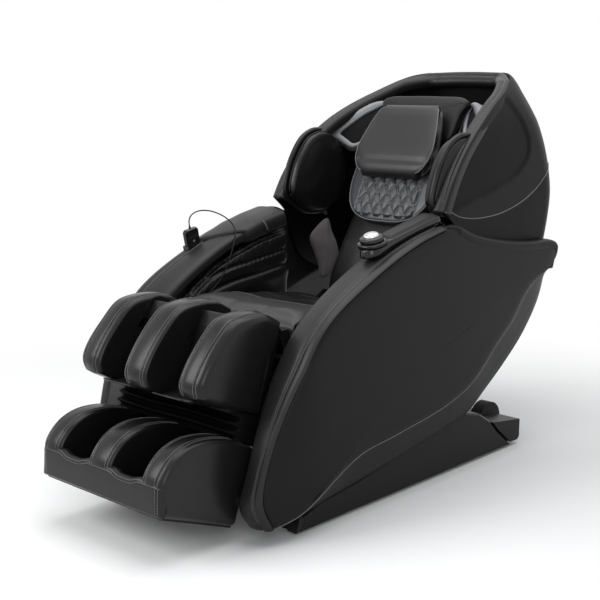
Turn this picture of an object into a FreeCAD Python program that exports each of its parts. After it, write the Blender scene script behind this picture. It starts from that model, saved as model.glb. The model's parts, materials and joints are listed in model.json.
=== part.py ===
import FreeCAD, Part
import math
import os

# Massage chair. Millimetres. X runs across the chair to the sitter's left, Y from the feet to the
# back, Z up from the floor. Outlines across the chair are lists of (y, z) points.

# The outlines count y from a line this far in front of the footprint's centre, where the origin is.
DATUM_Y = 42.0

# Widths, each half of a size measured across the chair.
ARM_OUTER = 385.0
ARM_WALL = 35.0
ARM_CLEAR = 262.0
HOOD_GAP = 5.0
HOOD_WALL = 11.0
HOOD_BAND = 47.0
HOOD_LINING = 32.0
BASE_OUTER = 340.0
BASE_COVER = 40.0
SEAT_WIDTH = ARM_CLEAR - 12
LEG_WIDTH = 248.0
CHANNEL_IN = 43.0
CHANNEL_OUT = 158.0
WELL_OUT = 165.0
BACK_WIDTH = 185.0
RAIL_OUTER = 236.0

# Pivots as (y, z), and how far each joint travels.
TILT_PIVOT = (330.0, 150.0)
RECLINE_PIVOT = (262.0, 420.0)
LEG_PIVOT = (-318.0, 520.0)
TILT_RANGE = 12.0
RECLINE_RANGE = 36.0
LEG_RANGE = 55.0
CARRIAGE_TRAVEL = 120.0
FOOT_TRAVEL = 110.0
MECH_TRAVEL = (-150.0, 190.0)

# Slopes: the backrest from upright, and the legrest at rest.
BACK_FOOT = (250.0, 450.0)
BACK_SLOPE = 28.0
LEG_SLOPE = 21.0

# Walls, gaps and round parts.
SHELL_WALL = 6.0
GAP = 0.6
RUNNING = 0.06
PIN_R = 10.0
ROD_R = 8.0
EYE_PIN_R = 5.0
WHEEL_R = 62.0
WHEEL_WIDTH = 40.0
ROLLER_R = 24.0
ROLLER_WIDTH = 18.0
CABLE_R = 2.0
CORD_SIDES = 6
KEY_SIDES = 8

RIM = ARM_OUTER - ARM_WALL
HOOD_OUTER = RIM - HOOD_GAP
BASE_INNER = BASE_OUTER - BASE_COVER


def vec(x, y, z):
    return FreeCAD.Vector(x, y, z)


def block(x, y, z):
    """A box between the low and high values of each axis."""
    return Part.makeBox(x[1] - x[0], y[1] - y[0], z[1] - z[0], vec(x[0], y[0], z[0]))


def bar(x0, x1, centre, radius):
    """A round bar across the chair, about the point (y, z)."""
    return Part.makeCylinder(radius, x1 - x0, vec(x0, centre[0], centre[1]), vec(1, 0, 0))


def mirrored(shape):
    return shape.mirror(vec(0, 0, 0), vec(1, 0, 0))


def both(shape):
    """The piece and its mirror image on the other side of the chair."""
    return shape.fuse(mirrored(shape))


def turned(shape, centre, degrees):
    """Turned about a line across the chair; a positive angle lifts the front."""
    return shape.rotated(vec(0, centre[0], centre[1]), vec(1, 0, 0), -degrees)


def in_back(shape):
    """From backrest space (y behind the cushion face, z up the back) to the chair."""
    return turned(shape, (0, 0), BACK_SLOPE).translated(vec(0, *BACK_FOOT))


def in_leg(shape):
    """From legrest space (the knee pivot at the origin, shins straight down) to the chair."""
    return turned(shape, (0, 0), LEG_SLOPE).translated(vec(0, *LEG_PIVOT))


def spun(point, degrees):
    """A (y, z) point turned as turned() does, about the origin."""
    angle = math.radians(-degrees)
    y, z = point
    return (y * math.cos(angle) - z * math.sin(angle), y * math.sin(angle) + z * math.cos(angle))


def inset(points, distance):
    """A closed outline drawn in by a distance, each corner moved along its mitre."""
    area = sum(a[0] * b[1] - b[0] * a[1] for a, b in zip(points, points[1:] + points[:1]))
    side = 1 if area > 0 else -1
    moved = []
    for i, here in enumerate(points):
        before, after = points[i - 1], points[(i + 1) % len(points)]
        normals = []
        for a, b in ((before, here), (here, after)):
            run = math.hypot(b[0] - a[0], b[1] - a[1])
            normals.append((-side * (b[1] - a[1]) / run, side * (b[0] - a[0]) / run))
        (n1, m1), (n2, m2) = normals
        scale = distance / (1 + n1 * n2 + m1 * m2)
        moved.append((here[0] + scale * (n1 + n2), here[1] + scale * (m1 + m2)))
    return moved


def rounded(points, radius, place):
    """A closed wire of lines with an arc at each corner; place turns (a, b) into a 3D point."""
    edges = []
    ends = []
    for i, here in enumerate(points):
        before, after = points[i - 1], points[(i + 1) % len(points)]
        u = [before[k] - here[k] for k in (0, 1)]
        w = [after[k] - here[k] for k in (0, 1)]
        lu, lw = math.hypot(*u), math.hypot(*w)
        u = [c / lu for c in u]
        w = [c / lw for c in w]
        half = math.acos(max(-1.0, min(1.0, u[0] * w[0] + u[1] * w[1]))) / 2
        cut = min(radius / math.tan(half), 0.45 * lu, 0.45 * lw)
        r = cut * math.tan(half)
        bis = [u[k] + w[k] for k in (0, 1)]
        size = math.hypot(*bis)
        centre = [here[k] + bis[k] / size * r / math.sin(half) for k in (0, 1)]
        start = [here[k] + u[k] * cut for k in (0, 1)]
        end = [here[k] + w[k] * cut for k in (0, 1)]
        middle = [centre[k] - bis[k] / size * r for k in (0, 1)]
        ends.append((start, middle, end))
    for i, (start, middle, end) in enumerate(ends):
        edges.append(Part.Arc(place(*start), place(*middle), place(*end)).toShape())
        edges.append(Part.makeLine(place(*end), place(*ends[(i + 1) % len(ends)][0])))
    return Part.Wire(edges)


def at_x(x):
    return lambda y, z: vec(x, y, z)


def at_y(y):
    return lambda x, z: vec(x, y, z)


def at_z(z):
    return lambda x, y: vec(x, y, z)


def plate(points, radius, x0, x1):
    """A flat piece: a (y, z) outline pulled across the chair, its corners rounded if radius is set."""
    return prism(points, radius, at_x(x0), vec(x1 - x0, 0, 0))


def prism(points, radius, place, along):
    """An outline, its corners rounded if radius is set, pulled along a vector."""
    return Part.Face(outline(points, radius, place)).extrude(along)


def outline(points, radius, place):
    if radius:
        return rounded(points, radius, place)
    corners = [place(*p) for p in points]
    return Part.makePolygon(corners + corners[:1])


def along(points, count):
    """Points evenly spaced along a smooth curve through the given (y, z) points."""
    curve = Part.BSplineCurve()
    curve.interpolate([vec(0, y, z) for y, z in points])
    return [(p.y, p.z) for p in curve.toShape().discretize(count)]


def joined(*stretches):
    """One closed outline from stretches that share their end points."""
    return [point for stretch in stretches for point in stretch[:-1]]


def soft_pad(points, levels, place=at_y):
    """A crowned cushion: a many-sided outline through (height, drawn-in distance) levels."""
    return faceted([[place(h)(*p) for p in inset(points, d)] for h, d in levels])


def faceted(rings, cap=None):
    """A solid of flat faces through rings of points, with equal numbers of points in each ring."""
    faces = [face for ring in (rings[0], rings[-1]) for face in (cap(ring) if cap else [polygon(ring)])]
    for low, high in zip(rings, rings[1:]):
        for i in range(len(low)):
            j = (i + 1) % len(low)
            faces += flat_faces([low[i], low[j], high[j], high[i]])
    shell = Part.makeShell(faces)
    shell.sewShape()
    solid = Part.makeSolid(shell)
    if solid.Volume < 0:
        solid.reverse()
    return solid


def polygon(points):
    return Part.Face(Part.makePolygon(points + points[:1]))


def flat_faces(quad):
    """One face if the four points lie in a plane, otherwise two triangles."""
    normal = (quad[1] - quad[0]).cross(quad[3] - quad[0])
    if abs(normal.normalize().dot(quad[2] - quad[0])) < 1e-5:
        return [polygon(quad)]
    return [polygon([quad[0], quad[1], quad[2]]), polygon([quad[0], quad[2], quad[3]])]


def round_points(radius, sides, centre=(0, 0)):
    """The corners of a regular outline about a centre."""
    turn = 2 * math.pi / sides
    cx, cy = centre
    return [(cx + radius * math.cos(i * turn), cy + radius * math.sin(i * turn)) for i in range(sides)]


# The arms. The seam runs up the front and along the top of the outer side.
SEAM = along([(-489, 49), (-521, 127), (-499, 258), (-421, 433), (-326, 557), (-108, 672), (59, 733),
              (187, 762)], 15)
INNER_EDGE = along([(-500, 45), (-532, 100), (-510, 173), (-438, 363), (-394, 446), (-313, 546),
                    (-108, 668), (59, 728), (187, 757)], 15)
SPLIT = along([(187, 762), (240, 764), (320, 733), (400, 712), (520, 690), (660, 674), (790, 668)], 9)
ARM_REAR = [(790, 668), (802, 656), (803, 635), (785, 579)]
ARM_UNDER = along([(785, 579), (745, 482), (659, 381), (552, 299), (447, 232), (356, 178), (200, 146),
                   (-67, 108), (-303, 78), (-411, 57)], 13) + [(-489, 49)]
PIPING = along([(785, 579), (742, 586), (631, 526), (547, 440), (464, 380), (350, 290), (217, 242),
                (-30, 205), (-192, 183), (-343, 114), (-411, 72)], 13) + [(-489, 49)]
BAND_THICK = 24.0
LIP_CLEAR = 1.2
# In front of the kink line the arm narrows towards its foot: the taper is millimetres drawn in per
# millimetre, at the outer side.
KINK = ((-410.0, 460.0), (-352.0, 68.0))
ARM_TAPER = 0.275


def ahead(y, z):
    """How far a point lies in front of the kink line."""
    (y0, z0), (y1, z1) = KINK
    return ((y - y0) * (z1 - z0) - (z - z0) * (y1 - y0)) / math.hypot(y1 - y0, z1 - z0)


def drawn_in(x, y, z):
    """A point of the arm, moved in where the arm narrows."""
    share = (x - ARM_CLEAR) / (ARM_OUTER - ARM_CLEAR)
    return vec(x - ARM_TAPER * share * max(0.0, ahead(y, z)), y, z)


def arm_solid(levels):
    """A piece of the arm through (x, outline) levels, with a corner where each outline meets the kink."""
    rings = []
    for x, line in levels:
        ring = []
        kinks = []
        for a, b in zip(line, line[1:] + line[:1]):
            ring.append(drawn_in(x, *a))
            if ahead(*a) * ahead(*b) < 0:
                t = ahead(*a) / (ahead(*a) - ahead(*b))
                kinks.append(len(ring))
                ring.append(vec(x, a[0] + (b[0] - a[0]) * t, a[1] + (b[1] - a[1]) * t))
        rings.append(ring)
    i, j = kinks
    return faceted(rings, lambda ring: [polygon(ring[i:j + 1]), polygon(ring[j:] + ring[:i + 1])])


def arm_shell():
    """The side shell: a flat side panel, and a wedge that tapers in below the lower piping line."""
    rim = joined(SEAM, SPLIT, ARM_REAR, ARM_UNDER)
    face = joined(SEAM, SPLIT, ARM_REAR, PIPING)
    outer = arm_solid([(RIM, rim), (ARM_OUTER - 8, inset(face, 1)), (ARM_OUTER, inset(face, 9))])
    wall = SHELL_WALL + 3
    room = arm_solid([(RIM - 1, inset(rim, wall)), (ARM_OUTER - SHELL_WALL - 9, inset(face, wall + 6))])
    return outer.cut(room)


def band_ring(x, top, rise, thick):
    """A strip outline on the arm: its top line raised by rise, its underside thick below that."""
    n = len(top)
    ups, downs = [], []
    for i, (y, z) in enumerate(top):
        a, b = top[max(i - 1, 0)], top[min(i + 1, n - 1)]
        run = math.hypot(b[0] - a[0], b[1] - a[1])
        ny, nz = -(b[1] - a[1]) / run, (b[0] - a[0]) / run
        ups.append(drawn_in(x, y + ny * rise, z + nz * rise))
        downs.append(drawn_in(x, y + ny * (rise - thick), z + nz * (rise - thick)))
    return ups + downs[::-1]


def band_cap(ring):
    """The end faces of a strip, from one corner pair to the next."""
    pairs = list(zip(ring, ring[::-1]))[:len(ring) // 2]
    return [face for (a, d), (b, c) in zip(pairs, pairs[1:]) for face in flat_faces([a, b, c, d])]


def between(a, b, t):
    return [(p[0] + (q[0] - p[0]) * t, p[1] + (q[1] - p[1]) * t) for p, q in zip(a, b)]


def arm_top():
    """The padded band over the front and top of an arm, crowned, with a lip over the side shell."""
    rim = RIM - GAP
    rings = []
    for x, rise, lip in ((ARM_CLEAR, 0, False), (ARM_CLEAR + 12, 8, False), (310, 12, False),
                         (rim - 0.4, 9, False), (rim, 9, True), (ARM_OUTER - 12, 7.5, True),
                         (ARM_OUTER - 2, 4, True)):
        t = (x - ARM_CLEAR) / (ARM_OUTER - ARM_CLEAR)
        ring = band_ring(x, between(INNER_EDGE, SEAM, t), rise, BAND_THICK)
        if lip:
            ring = ring[:len(SEAM)] + band_ring(x, SEAM, LIP_CLEAR, 1)[:len(SEAM)][::-1]
        rings.append(ring)
    return faceted(rings, band_cap)


def arm_lining():
    """The inner arm pad: a quilted wall from the seat up to the arm top, and down beside the legs."""
    line = [(-500, 92), (-478, 183), (-406, 361), (-364, 434), (-296, 511), (-104, 632),
            (60, 693), (222, 720), (226, 436), (-286, 436), (-310, 330), (-406, 150), (-414, 62)]
    rows = ((ARM_CLEAR + 1, 14), (ARM_CLEAR + 9, 4), (ARM_CLEAR + 22, 0), (ARM_CLEAR + 34, 0))
    return soft_pad(line, rows, at_x)


def arm_console():
    """The raised glossy housing along the near arm's top, with a round seat for the knob."""
    x0, x1 = ARM_CLEAR + 12, BASE_OUTER
    side = [(-104, 690), (0, 724), (212, 775), (222, 790), (212, 800), (10, 757), (-60, 742), (-104, 716)]
    body = soft_pad(side, ((x0, 5), (x0 + 6, 0), (x1 - 6, 0), (x1, 5)), at_x)
    seat = Part.makeCylinder(KNOB_R + 5, 24, KNOB_SEAT - KNOB_AXIS * 22, KNOB_AXIS)
    bore = Part.makeCylinder(KNOB_STEM + RUNNING, 30, KNOB_SEAT - KNOB_AXIS * 20, KNOB_AXIS)
    return body.fuse(seat).cut(bore)


KNOB_R = 34.0
KNOB_STEM = 7.0
KNOB_SIDES = 20
KNOB_SEAT = FreeCAD.Vector(306, -58, 748)
KNOB_AXIS = FreeCAD.Vector(0, -0.26, 0.966)


def control_knob():
    """A faceted turning knob with a domed top, on a round stem."""
    knob = soft_pad(round_points(KNOB_R, KNOB_SIDES), ((2.5, 2), (5, 0), (14, 0), (20, 6), (23, 18)), at_z)
    knob = knob.fuse(Part.makeCylinder(KNOB_STEM, 22, vec(0, 0, -18)))
    knob = knob.rotated(vec(0, 0, 0), vec(1, 0, 0), math.degrees(math.asin(-KNOB_AXIS.y)))
    return knob.translated(KNOB_SEAT + KNOB_AXIS * 2)


# The handset stands in a dock in the sitter's right arm, its screen facing the sitter.
HANDSET_X = (13 - ARM_OUTER, 31 - ARM_OUTER)
HANDSET_Y = (-146.0, -92.0)
HANDSET_Z = (625.0, 733.0)
HANDSET_LEAN = 12.0
HANDSET_SLACK = 0.5
DOCK_WALL = 3.0
DOCK_TOP = 684.0
KEY_R = 4.0
KEY_SPOT = (-119.0, 694.0)
SCREEN_Z = (703.0, 727.0)


def in_dock(shape):
    """Lean a piece of the handset towards the chair's front."""
    return turned(shape, (sum(HANDSET_Y) / 2, DOCK_TOP), -HANDSET_LEAN)


def handset_screen_block(extra):
    y0, y1 = HANDSET_Y[0] + 6 - extra, HANDSET_Y[1] - 6 + extra
    z0, z1 = SCREEN_Z[0] - extra, SCREEN_Z[1] + extra
    x1 = HANDSET_X[1] - 0.2 + extra * 4
    return plate([(y0, z0), (y1, z0), (y1, z1), (y0, z1)], 0, HANDSET_X[1] - 2 - extra, x1)


def handset_case():
    """A thin upright slab with round corners, a screen recess and a key recess."""
    y0, y1 = HANDSET_Y
    z0, z1 = HANDSET_Z
    c = 7
    line = [(y0 + c, z0), (y1 - c, z0), (y1, z0 + c), (y1, z1 - c), (y1 - c, z1), (y0 + c, z1), (y0, z1 - c),
            (y0, z0 + c)]
    x0, x1 = HANDSET_X
    case = soft_pad(line, ((x0, 3), (x0 + 3, 0), (x1 - 3, 0), (x1, 3)), at_x)
    return in_dock(case.cut([handset_screen_block(0.15), key_block(0.15)]))


def handset_screen():
    return in_dock(handset_screen_block(0))


def handset_key():
    """The home key, standing a little proud of the case."""
    return in_dock(key_block(0).translated(vec(0.8, 0, 0)))


def key_block(extra):
    ring = round_points(KEY_R + extra, KEY_SIDES, KEY_SPOT)
    return plate(ring, 0, HANDSET_X[1] - 3 - extra, HANDSET_X[1] + extra)


def dock_block(extra):
    x = (HANDSET_X[0] - HANDSET_SLACK - extra, HANDSET_X[1] + HANDSET_SLACK + extra)
    y = (HANDSET_Y[0] - HANDSET_SLACK - extra, HANDSET_Y[1] + HANDSET_SLACK + extra)
    return block(x, y, (HANDSET_Z[0] - extra, DOCK_TOP))


def handset_dock():
    """An open-topped pocket that the handset's lower half stands in."""
    outer = dock_block(DOCK_WALL)
    pocket = dock_block(0).fuse(dock_block(0).translated(vec(0, 0, 20)))
    return in_dock(outer.cut(pocket))


def dock_room():
    return in_dock(dock_block(DOCK_WALL + 0.4).fuse(dock_block(DOCK_WALL + 0.4).translated(vec(0, 0, 60))))


# The handset cord, from the handset's top over the arm and down beside the seat.
SLEEVE_LENGTH = 9.0
SLEEVE_R = 4.0
CORD_END = (5.5 - ARM_CLEAR, -222.0, 425.0)
# The loop above the arm counts x from the handset, and the run down inside the arm from the arm pad.
CORD_LOOP = [(2, -124, 776), (11, -101, 787), (25, -66, 785), (45, -30, 768), (69, -14, 745)]
CORD_RUN = [(-10, -19, 722), (5, -38, 700), (9, -54, 668), (9, -70, 632), (7.5, -91, 595),
            (6, -121, 564), (5.5, -160, 541), (5.5, -195, 510), (5.5, -216, 474)]


def sleeve_spots():
    """Foot and axis of the two rubber sleeves that hold the cord's ends."""
    axis = vec(0, -math.sin(math.radians(HANDSET_LEAN)), math.cos(math.radians(HANDSET_LEAN)))
    middle = vec(sum(HANDSET_X) / 2, sum(HANDSET_Y) / 2, DOCK_TOP)
    top = middle + axis * (HANDSET_Z[1] - DOCK_TOP)
    return [(top, axis), (vec(*CORD_END), vec(0, 0, 1))]


def cord_sleeves():
    """Two rubber sleeves that the cord's ends meet."""
    upright = soft_pad(round_points(SLEEVE_R, CORD_SIDES), ((0, 0), (SLEEVE_LENGTH, 1.2)), at_z)
    (top, _), (low, _) = sleeve_spots()
    leaning = upright.rotated(vec(0, 0, 0), vec(1, 0, 0), HANDSET_LEAN).translated(top)
    return Part.makeCompound([leaning, upright.translated(low)])


def cord_route():
    """The route's corner points, its end runs in line with the sleeves."""
    (top, up), (low, rise) = sleeve_spots()
    start = [top + up * SLEEVE_LENGTH, top + up * (SLEEVE_LENGTH + 17)]
    end = [low + rise * (SLEEVE_LENGTH + 16), low + rise * SLEEVE_LENGTH]
    loop = [vec(top.x + x, y, z) for x, y, z in CORD_LOOP]
    run = [vec(x - ARM_CLEAR, y, z) for x, y, z in CORD_RUN]
    return start + loop + run + end


def cord_tube():
    """A tube of straight runs joined by tangent arcs, each as large as its two runs allow."""
    points = cord_route()
    edges = []
    radii = []
    turns = []
    here = points[0]
    for a, b, c in zip(points, points[1:], points[2:]):
        cut = 0.45 * min(a.distanceToPoint(b), b.distanceToPoint(c))
        into = (b - a).normalize()
        out = (c - b).normalize()
        turn = into.getAngle(out)
        radius = cut / math.tan(turn / 2)
        start = b - into * cut
        end = b + out * cut
        reach = radius / math.cos(turn / 2) - radius
        middle = b + (out - into).normalize() * reach
        edges.append(Part.makeLine(here, start))
        edges.append(Part.Arc(start, middle, end).toShape())
        radii.append(round(radius, 1))
        turns.append(round(math.degrees(turn)))
        here = end
    edges.append(Part.makeLine(here, points[-1]))
    path = Part.Wire(edges)
    axis = (points[1] - points[0]).normalize()
    side = axis.cross(vec(1, 0, 0)).normalize()
    ring = []
    for i in range(CORD_SIDES):
        angle = 2 * math.pi * i / CORD_SIDES
        ring.append(points[0] + (side * math.cos(angle) + axis.cross(side) * math.sin(angle)) * CABLE_R)
    section = Part.Face(Part.makePolygon(ring + ring[:1]))
    tube = path.makePipe(section)
    length = path.Length
    print("cord runs", [round(a.distanceToPoint(b)) for a, b in zip(points, points[1:])])
    print("cord radii", radii, "turns", turns)
    print("cord volume", round(tube.Volume, 1), "section x length", round(section.Area * length, 1))
    return tube


# The base. Its covers' outline rises from the front foot to a crest and falls behind it.
COVER_LINE = [(-394, 6), (640, 6), (554, 71), (508, 116), (453, 150), (372, 172), (195, 142), (-148, 91),
              (-303, 73), (-378, 50)]


def base_cover():
    """A side cover of the base: a thin shell open to the inside, its outer rim bevelled."""
    outer = soft_pad(COVER_LINE, ((BASE_INNER, 0), (BASE_OUTER - 7, 0), (BASE_OUTER, 6)), at_x)
    return outer.cut(plate(inset(COVER_LINE, 6), 0, BASE_INNER - 1, BASE_OUTER - 5))


RAIL_Y = (-360.0, 580.0)
RAIL_Z = (30.0, 90.0)
CROSS_TUBES = (-340.0, 130.0, 560.0)
FLANGE = 4.0
FLANGE_WIDTH = 32.0
WHEEL_CENTRE = (650.0, 66.0)
WHEEL_X = 224.0
AXLE_R = 7.0


def rail_channel():
    """One steel channel, open to the inside, that the carriage slides in."""
    x1 = RAIL_OUTER
    x0 = x1 - FLANGE_WIDTH
    outer = block((x0, x1), RAIL_Y, RAIL_Z)
    ends = (RAIL_Y[0] - 1, RAIL_Y[1] + 1)
    room = block((x0 - 1, x1 - FLANGE), ends, (RAIL_Z[0] + FLANGE, RAIL_Z[1] - FLANGE))
    return outer.cut(room)


def base_frame():
    """Two channels, three cross tubes, side arms to the covers and wheel brackets."""
    reach = RAIL_OUTER - FLANGE_WIDTH + 1
    pieces = [both(rail_channel())]
    for y in CROSS_TUBES:
        pieces.append(block((-reach, reach), (y - 15, y + 15), (24, 54)))
        end = BASE_INNER - 10 if y == CROSS_TUBES[-1] else BASE_OUTER - 5
        pieces.append(both(block((RAIL_OUTER - 1, end), (y - 15, y + 15), (30, 48))))
    bracket = [(574, 34), (574, 84), (600, 84), (668, 80), (668, 52), (610, 34)]
    bracket = plate(bracket, 0, WHEEL_X - 30, WHEEL_X - 24)
    bore = bar(WHEEL_X - 40, WHEEL_X - 20, WHEEL_CENTRE, AXLE_R + RUNNING)
    pieces.append(both(bracket.cut(bore)))
    return pieces[0].multiFuse(pieces[1:]).removeSplitter()


def base_feet():
    """Rubber feet: tapered blocks under the covers' front ends and under the rear of the frame."""
    feet = []
    for x, y in ((280, -362), (255, 545)):
        corners = [(x - 18, y - 16), (x + 18, y - 16), (x + 18, y + 16), (x - 18, y + 16)]
        feet.append(soft_pad(corners, ((0, 2), (30, 6)), at_z))
    return Part.makeCompound(feet + [mirrored(foot) for foot in feet])


def transport_wheels():
    """Two wheels on one axle between them."""
    inner = WHEEL_X - WHEEL_WIDTH / 2
    wheels = both(bar(inner, inner + WHEEL_WIDTH, WHEEL_CENTRE, WHEEL_R))
    return wheels.fuse(bar(-inner, inner, WHEEL_CENTRE, AXLE_R))


REAR_LINE = [(470, 16), (672, 16), (682, 26), (682, 84), (530, 106), (470, 110)]
INLET_SPOT = (-150.0, 40.0)
SWITCH_SPOT = (-96.0, 40.0)


def rear_cover():
    """The rear housing between the side covers, with wheel wells and openings for inlet and switch."""
    body = plate(REAR_LINE, 0, -BASE_OUTER - 1, BASE_OUTER + 1)
    room = [(460, 10), (677, 10), (677, 80), (530, 101), (460, 106)]
    room = plate(room, 0, 10 - BASE_INNER, BASE_INNER - 10)
    covers = plate(inset(COVER_LINE, -4), 0, BASE_INNER - 4, BASE_OUTER + 2)
    wells = block((WHEEL_X - 33, WHEEL_X + 33), (576, 700), (0, 140))
    x, z = INLET_SPOT
    inlet = block((x - 18.2, x + 18.2), (670, 690), (z - 12.2, z + 12.2))
    x, z = SWITCH_SPOT
    switch = block((x - 11.3, x + 11.3), (670, 690), (z - 13.3, z + 13.3))
    return body.cut([room, both(covers), both(wells), inlet, switch]).fuse(switch_frame())


def power_inlet():
    """A three-pin socket for a power cord, with a flange against the rear cover."""
    x, z = INLET_SPOT
    flange = plate([(682.2, z - 17), (685, z - 17), (685, z + 17), (682.2, z + 17)], 0, x - 26, x + 26)
    body = block((x - 18, x + 18), (652, 683), (z - 12, z + 12))
    socket = block((x - 12.5, x + 12.5), (662, 690), (z - 8.5, z + 8.5))
    pins = [block((x + dx - 1, x + dx + 1), (655, 678), (z + dz - 3, z + dz + 3)) for dx, dz in
            ((-7, -2), (0, 3), (7, -2))]
    return flange.fuse(body).cut(socket).fuse(pins)


def power_switch():
    """A rocker, resting with its lower half pressed in."""
    x, z = SWITCH_SPOT
    rocker = plate([(674, -12), (684, -12), (681.6, 0), (684, 12), (674, 12)], 0, x - 10.8, x + 10.8)
    return turned(rocker.translated(vec(0, 0, z)), (682, z), 7)


def switch_frame():
    """The rocker's bezel: a thin frame on the rear cover."""
    x, z = SWITCH_SPOT
    frame = block((x - 15, x + 15), (681.8, 684.6), (z - 18, z + 18))
    return frame.cut(block((x - 11.2, x + 11.2), (680, 690), (z - 14, z + 14)))


# The linear drives: each is bolted down, and its rod ends in a slot that the driven pin crosses as it
# follows its arc.
DRIVE_LENGTH = 230.0
TUBE_HALF = 15.0
YOKE_LIP = 7.0
LUG_IN = 9.0
LUG_OUT = 14.0


def drive_body(length):
    """Drive along +Z from its mounting foot at the origin: gearbox, motor and outer tube."""
    gearbox = [(-20, -20), (20, -20), (20, 50), (12, 58), (-12, 58), (-20, 50)]
    gearbox = prism(gearbox, 0, at_z(0), vec(0, 0, 46))
    tube = block((-TUBE_HALF, TUBE_HALF), (-TUBE_HALF, TUBE_HALF), (45, length - 34))
    motor = prism(round_points(19, 16, (0, 37)), 0, at_z(44), vec(0, 0, 74))
    half = ROD_R + RUNNING
    return gearbox.multiFuse([tube, motor]).cut(block((-half, half), (-half, half), (52, length)))


def drive_rod(length, slack):
    """Rod from inside the tube to a flat end whose slot lets the driven pin follow its arc."""
    rod = Part.makeCylinder(ROD_R, length - 14 - 56, vec(0, 0, 56), vec(0, 0, 1))
    reach = EYE_PIN_R + slack
    outer = reach + YOKE_LIP
    end = block((-ROD_R, ROD_R), (-outer, outer), (length - 16, length + 13))
    half = EYE_PIN_R + 1.3
    return rod.fuse(end).cut(block((-15, 15), (-reach, reach), (length - half, length + half)))


def drive_place(shape, x, pin, direction, length):
    """Set a drive so that its yoke meets the pin, pointing along the direction (y, z)."""
    angle = math.degrees(math.atan2(-direction[0], direction[1]))
    start = (pin[0] - direction[0] * length, pin[1] - direction[1] * length)
    return shape.rotated(vec(0, 0, 0), vec(1, 0, 0), angle).translated(vec(x, *start))


def chord(pin, pivot, degrees):
    """Direction, length and bulge of the arc that a pin makes about its pivot."""
    rel = (pin[0] - pivot[0], pin[1] - pivot[1])
    end = spun(rel, degrees)
    run = (end[0] - rel[0], end[1] - rel[1])
    length = math.hypot(*run)
    bulge = math.hypot(*rel) * (1 - math.cos(math.radians(degrees) / 2))
    return (run[0] / length, run[1] / length), length, bulge


def on_leg(y, z):
    """A legrest-space point as a point of the chair."""
    p = spun((y, z), LEG_SLOPE)
    return (p[0] + LEG_PIVOT[0], p[1] + LEG_PIVOT[1])


TILT_PIN = (-50.0, 371.0)
RECLINE_PIN = (RECLINE_PIVOT[0] - 34.0, RECLINE_PIVOT[1] - 94.0)
LEG_PIN_AT = (-11.0, -78.0)
LEG_PIN = on_leg(*LEG_PIN_AT)
DRIVES = {
    "tilt": (0.0, TILT_PIN, TILT_PIVOT, TILT_RANGE),
    "recline": (-80.0, RECLINE_PIN, RECLINE_PIVOT, RECLINE_RANGE),
    "leg": (80.0, LEG_PIN, LEG_PIVOT, LEG_RANGE),
}


def drive_pieces(name):
    x, pin, pivot, degrees = DRIVES[name]
    direction, stroke, bulge = chord(pin, pivot, degrees)
    body = drive_place(drive_body(DRIVE_LENGTH), x, pin, direction, DRIVE_LENGTH)
    rod = drive_place(drive_rod(DRIVE_LENGTH, bulge + 1.5), x, pin, direction, DRIVE_LENGTH)
    print(name, "drive direction", [round(c, 4) for c in direction], "stroke", round(stroke, 2))
    return body, rod


def drive_foot(name):
    """Where a drive's lower eye sits."""
    x, pin, pivot, degrees = DRIVES[name]
    direction = chord(pin, pivot, degrees)[0]
    return x, (pin[0] - direction[0] * DRIVE_LENGTH, pin[1] - direction[1] * DRIVE_LENGTH)


def lug(x, pin, tab):
    """Two plates of one outline on either side of a rod's slotted end, with the pin between them."""
    plates = [plate(tab, 0, x + LUG_IN, x + LUG_OUT), plate(tab, 0, x - LUG_OUT, x - LUG_IN)]
    return bar(x - LUG_IN, x + LUG_IN, pin, EYE_PIN_R).multiFuse(plates)


def drive_seat(name):
    """The sloping steel foot plate that a drive is bolted to."""
    x, pin, pivot, degrees = DRIVES[name]
    foot = block((-22, 22), (-22, 58), (-8, -0.3))
    return drive_place(foot, x, pin, chord(pin, pivot, degrees)[0], DRIVE_LENGTH)


# The carriage slides in the base's channels and carries the tilting seat.
CARRIAGE_Y = (-230.0, 390.0)
CARRIAGE_Z = (58.0, 86.0)
CARRIAGE_X = (166.0, 196.0)


def carriage_frame():
    """Side tubes and cross tubes, runner blocks in the channels, tilt plates and pins, drive clevis."""
    z0, z1 = CARRIAGE_Z
    sides = both(block(CARRIAGE_X, CARRIAGE_Y, CARRIAGE_Z))
    y0, y1 = CARRIAGE_Y
    pieces = [block((-CARRIAGE_X[1], CARRIAGE_X[1]), (y0, y0 + 30), CARRIAGE_Z)]
    pieces.append(block((-CARRIAGE_X[1], CARRIAGE_X[1]), (y1 - 30, y1), CARRIAGE_Z))
    runner_x = (CARRIAGE_X[1] - 1, RAIL_OUTER - FLANGE - 0.4)
    runner_z = (RAIL_Z[0] + FLANGE + 0.4, RAIL_Z[1] - FLANGE - 0.4)
    for y in (y0 + 30, y1 - 70):
        pieces.append(both(block(runner_x, (y, y + 60), runner_z)))
    py, pz = TILT_PIVOT
    cheek = plate([(py - 60, z0), (py + 50, z0), (py + 20, pz), (py + 12, pz + 20), (py - 12, pz + 20),
                   (py - 20, pz)], 0, 174, 182)
    pieces.append(both(cheek.fuse(bar(182, 199, TILT_PIVOT, PIN_R))))
    fy, fz = drive_foot("tilt")[1]
    tower = [(y0, z0), (fy + 30, z0), (fy + 30, z1), (fy + 6, fz - 12), (fy - 40, fz + 26), (y0, z1)]
    pieces += [drive_seat("tilt"), plate(tower, 0, -18, -12), plate(tower, 0, 12, 18)]
    return sides.multiFuse(pieces)


SLIDE_Z = 72.0
SLIDE_TUBE = (-60.0, 115.0)
ROD_HOLD = 80.0


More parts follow.
